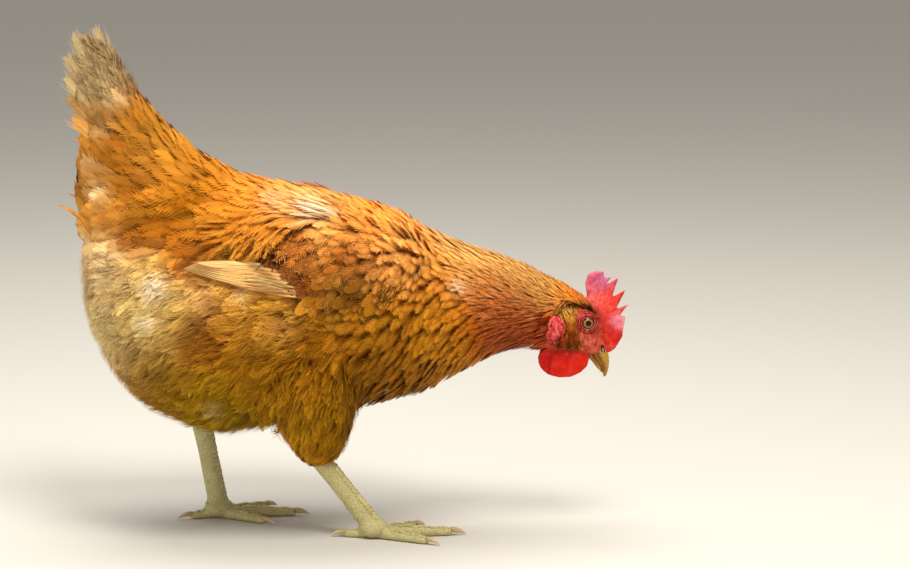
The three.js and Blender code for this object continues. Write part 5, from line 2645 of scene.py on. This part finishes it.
@dataclass
class Skin:
    """The one skin that joins the body, the head and the legs."""

    markings: Markings = Markings()
    leg_top: float = 70.0

    def build(self, body: Body, head: Head, legs: Legs) -> None:
        """Joins the parts into one closed surface and colours it.

        Args:
            body: the body.
            head: the head.
            legs: the legs.
        """
        self.piece = body.piece
        for part in (head.piece, legs.piece):
            union = self.piece.modifiers.new("Union", "BOOLEAN")
            union.operation = "UNION"
            union.solver = "MANIFOLD"
            union.object = part
        head_points = points_of(head.piece)
        applied(self.piece)
        self.piece.name = self.piece.data.name = "skin"
        points = points_of(self.piece)
        self.bare = self.carried(points, head_points, head.bare)
        pit, flap, rim = (
            self.carried(points, head_points, share * head.bare)
            for share in (head.pit, head.flap, head.rim)
        )
        below = points[:, 2] < self.leg_top
        self.leg = ease(1.0, 0.3, legs.surface.away(points)) * below
        hide = self.markings.plumage(points)
        red = self.markings.red_skin(points)
        shade = self.carried(points, head_points, head.shade)[:, None]
        # Painted shade darkens the red skin where the head's shade is below nought, and painted
        # highlight lightens it where it is above.
        red = mix(red, red * (0.3, 0.12, 0.1), np.clip(-shade, 0, 1))
        red = mix(red, np.array(self.markings.pale_skin), 0.3 * np.clip(shade, 0, 1))
        # The pit's near-black is painted shade.
        for share, tone in zip((rim, pit, flap), self.markings.nostril):
            red = mix(red, np.array(tone), share[:, None])
        colour = mix(hide, red, self.bare[:, None])
        colour = mix(colour, np.array(self.markings.leg), self.leg[:, None])
        paint(self.piece, colour)
        for part in (head.piece, legs.piece):
            discard(part)
        self.dress()

    @staticmethod
    def carried(points: Array, known: Array, values: Array) -> Array:
        """Values known at some points, given to those of points that lie on them.

        Args:
            points: where the values are wanted.
            known: where they are known.
            values: the values there.

        Returns:
            A value for each point, nought where none is known.
        """
        tree = kd_tree(known)
        found = [tree.find(p) for p in points.tolist()]
        return np.array([values[f[1]] if f[2] < TOUCHING else 0.0 for f in found])

    def dress(self) -> None:
        """Gives each face the finish of its place."""
        mesh = self.piece.data
        mesh.materials.clear()
        for finish in (HideFinish(), BareSkinFinish(), LegFinish()):
            mesh.materials.append(finish.material())
        mesh.shade_smooth()
        first = read(mesh.polygons, "loop_start", 1).ravel()
        vertex = read(mesh.loops, "vertex_index", 1).ravel()[first]
        kind = np.where(self.leg[vertex] > 0.5, 2, np.where(self.bare[vertex] > 0.5, 1, 0))
        mesh.polygons.foreach_set("material_index", kind.astype(np.int32))
        mesh.update()


# ---- Studio ----


@dataclass
class Studio:
    """A pale floor, soft light from above and the camera."""

    aim: Triple = (0.0774, 0.0, 0.179)
    distance: float = 2.5
    elevation: float = 9.0
    lens: float = 137.0
    floor: Colour = (0.62, 0.6, 0.56)
    sky: Colour = (1.0, 0.95, 0.86)
    floor_half: float = 6000.0
    daylight: float = 0.42

    def build(self) -> None:
        """Builds the floor, the lights and the camera."""
        tree = Tree("studio_floor")
        tree.shader.inputs["Base Color"].default_value = (*self.floor, 1)
        tree.shader.inputs["Roughness"].default_value = 0.9
        size = self.floor_half
        corners = np.array([(-size, -size, 0), (size, -size, 0), (size, size, 0), (-size, size, 0)])
        floor = new_mesh("floor", corners - (0, 0, 0.4), [np.array([[0, 1, 2, 3]])])
        floor.data.materials.append(tree.material)
        world = bpy.data.worlds.new("daylight")
        bpy.context.scene.world = world
        world.use_nodes = True
        back = world.node_tree.nodes["Background"]
        back.inputs[0].default_value = (*self.sky, 1)
        back.inputs[1].default_value = self.daylight
        self.light("key_light", (0.3, -0.85, 1.6), 0.7, 27.0, (1.0, 0.95, 0.86))
        self.light("top_light", (-0.2, 0.3, 1.8), 1.2, 26.0, (1.0, 0.97, 0.92))
        self.light("rear_fill", (-1.3, -1.3, 0.5), 1.2, 9.0, (1.0, 0.95, 0.88))
        bpy.context.scene.view_settings.view_transform = "Standard"
        self.camera()

    def light(self, name: str, place: Triple, size: float, power: float, tint: Colour) -> None:
        """Adds a soft lamp that faces the hen.

        Args:
            name: the lamp's name.
            place: where it hangs, in metres.
            size: its width, in metres.
            power: its power, in watts.
            tint: its colour.
        """
        data = bpy.data.lights.new(name, "AREA")
        data.size, data.energy, data.color = size, power, tint
        lamp = linked(name, data)
        lamp.location = place
        lamp.rotation_euler = (Vector(self.aim) - Vector(place)).to_track_quat("-Z", "Y").to_euler()

    def camera(self) -> None:
        """Adds the camera, which looks down a little at the hen's right side."""
        data = bpy.data.cameras.new("camera")
        data.lens = self.lens
        camera = linked("camera", data)
        tilt = math.radians(self.elevation)
        back = Vector((0, -math.cos(tilt), math.sin(tilt))) * self.distance
        camera.location = Vector(self.aim) + back
        camera.rotation_euler = (-back).to_track_quat("-Z", "Y").to_euler()
        bpy.context.scene.camera = camera


# ---- Assembly ----


def claim(piece: Piece, finish: str, *nodes: str) -> None:
    """Parents a finished piece to the body and hides the CAD nodes that it stands for.

    Args:
        piece: the mesh, in place.
        finish: a material slot's name, which is not used.
        nodes: the CAD nodes that it stands for.
    """
    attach(piece, BODY)
    if nodes:
        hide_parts(*nodes)
    LOG.info("%s: %d faces", piece.name, len(piece.data.polygons))


def main() -> None:
    """Builds the hen and the studio."""
    logging.basicConfig(level=logging.INFO, format="%(message)s")
    body, head, legs, skin = Body(), Head(), Legs(), Skin()
    body.build()
    head.build()
    legs.build()
    skin.build(body, head, legs)
    flesh = ["trunk", "neck", "head", "tail", "comb"]
    flesh += both_sides("wattle", "ear_lobe", "wing", "thigh", "shank", *(f"toe_{t}" for t in TOES))
    claim(skin.piece, "red_skin", *flesh)
    for side in Side:
        claim(Eyes(head).build(side), "eye", f"eye_{side.word}")
        claim(Claws().build(side), "horn", *(f"claw_{t}_{side.word}" for t in TOES))
    for side in Side:
        claim(Scutes().build(legs, side), "scaly_skin")
    for node in ("upper_bill", "lower_bill"):
        claim(Bill().build(node), "horn", node)
    coat = Coat(body, Surface(skin.piece), skin.bare)
    for tract in tracts(Regions(body)):
        for piece in coat.grow(tract):
            claim(piece, "fluff" if "fluff" in piece.name or "thigh" in piece.name else "plumage")
    for piece in Quills(coat).build():
        node = piece.name.replace("wing_quills", "flight_feathers")
        claim(piece, "flight_feathers", *([node] if "wing" in piece.name else []))
    Studio().build()


if __name__ == "__main__":
    main()
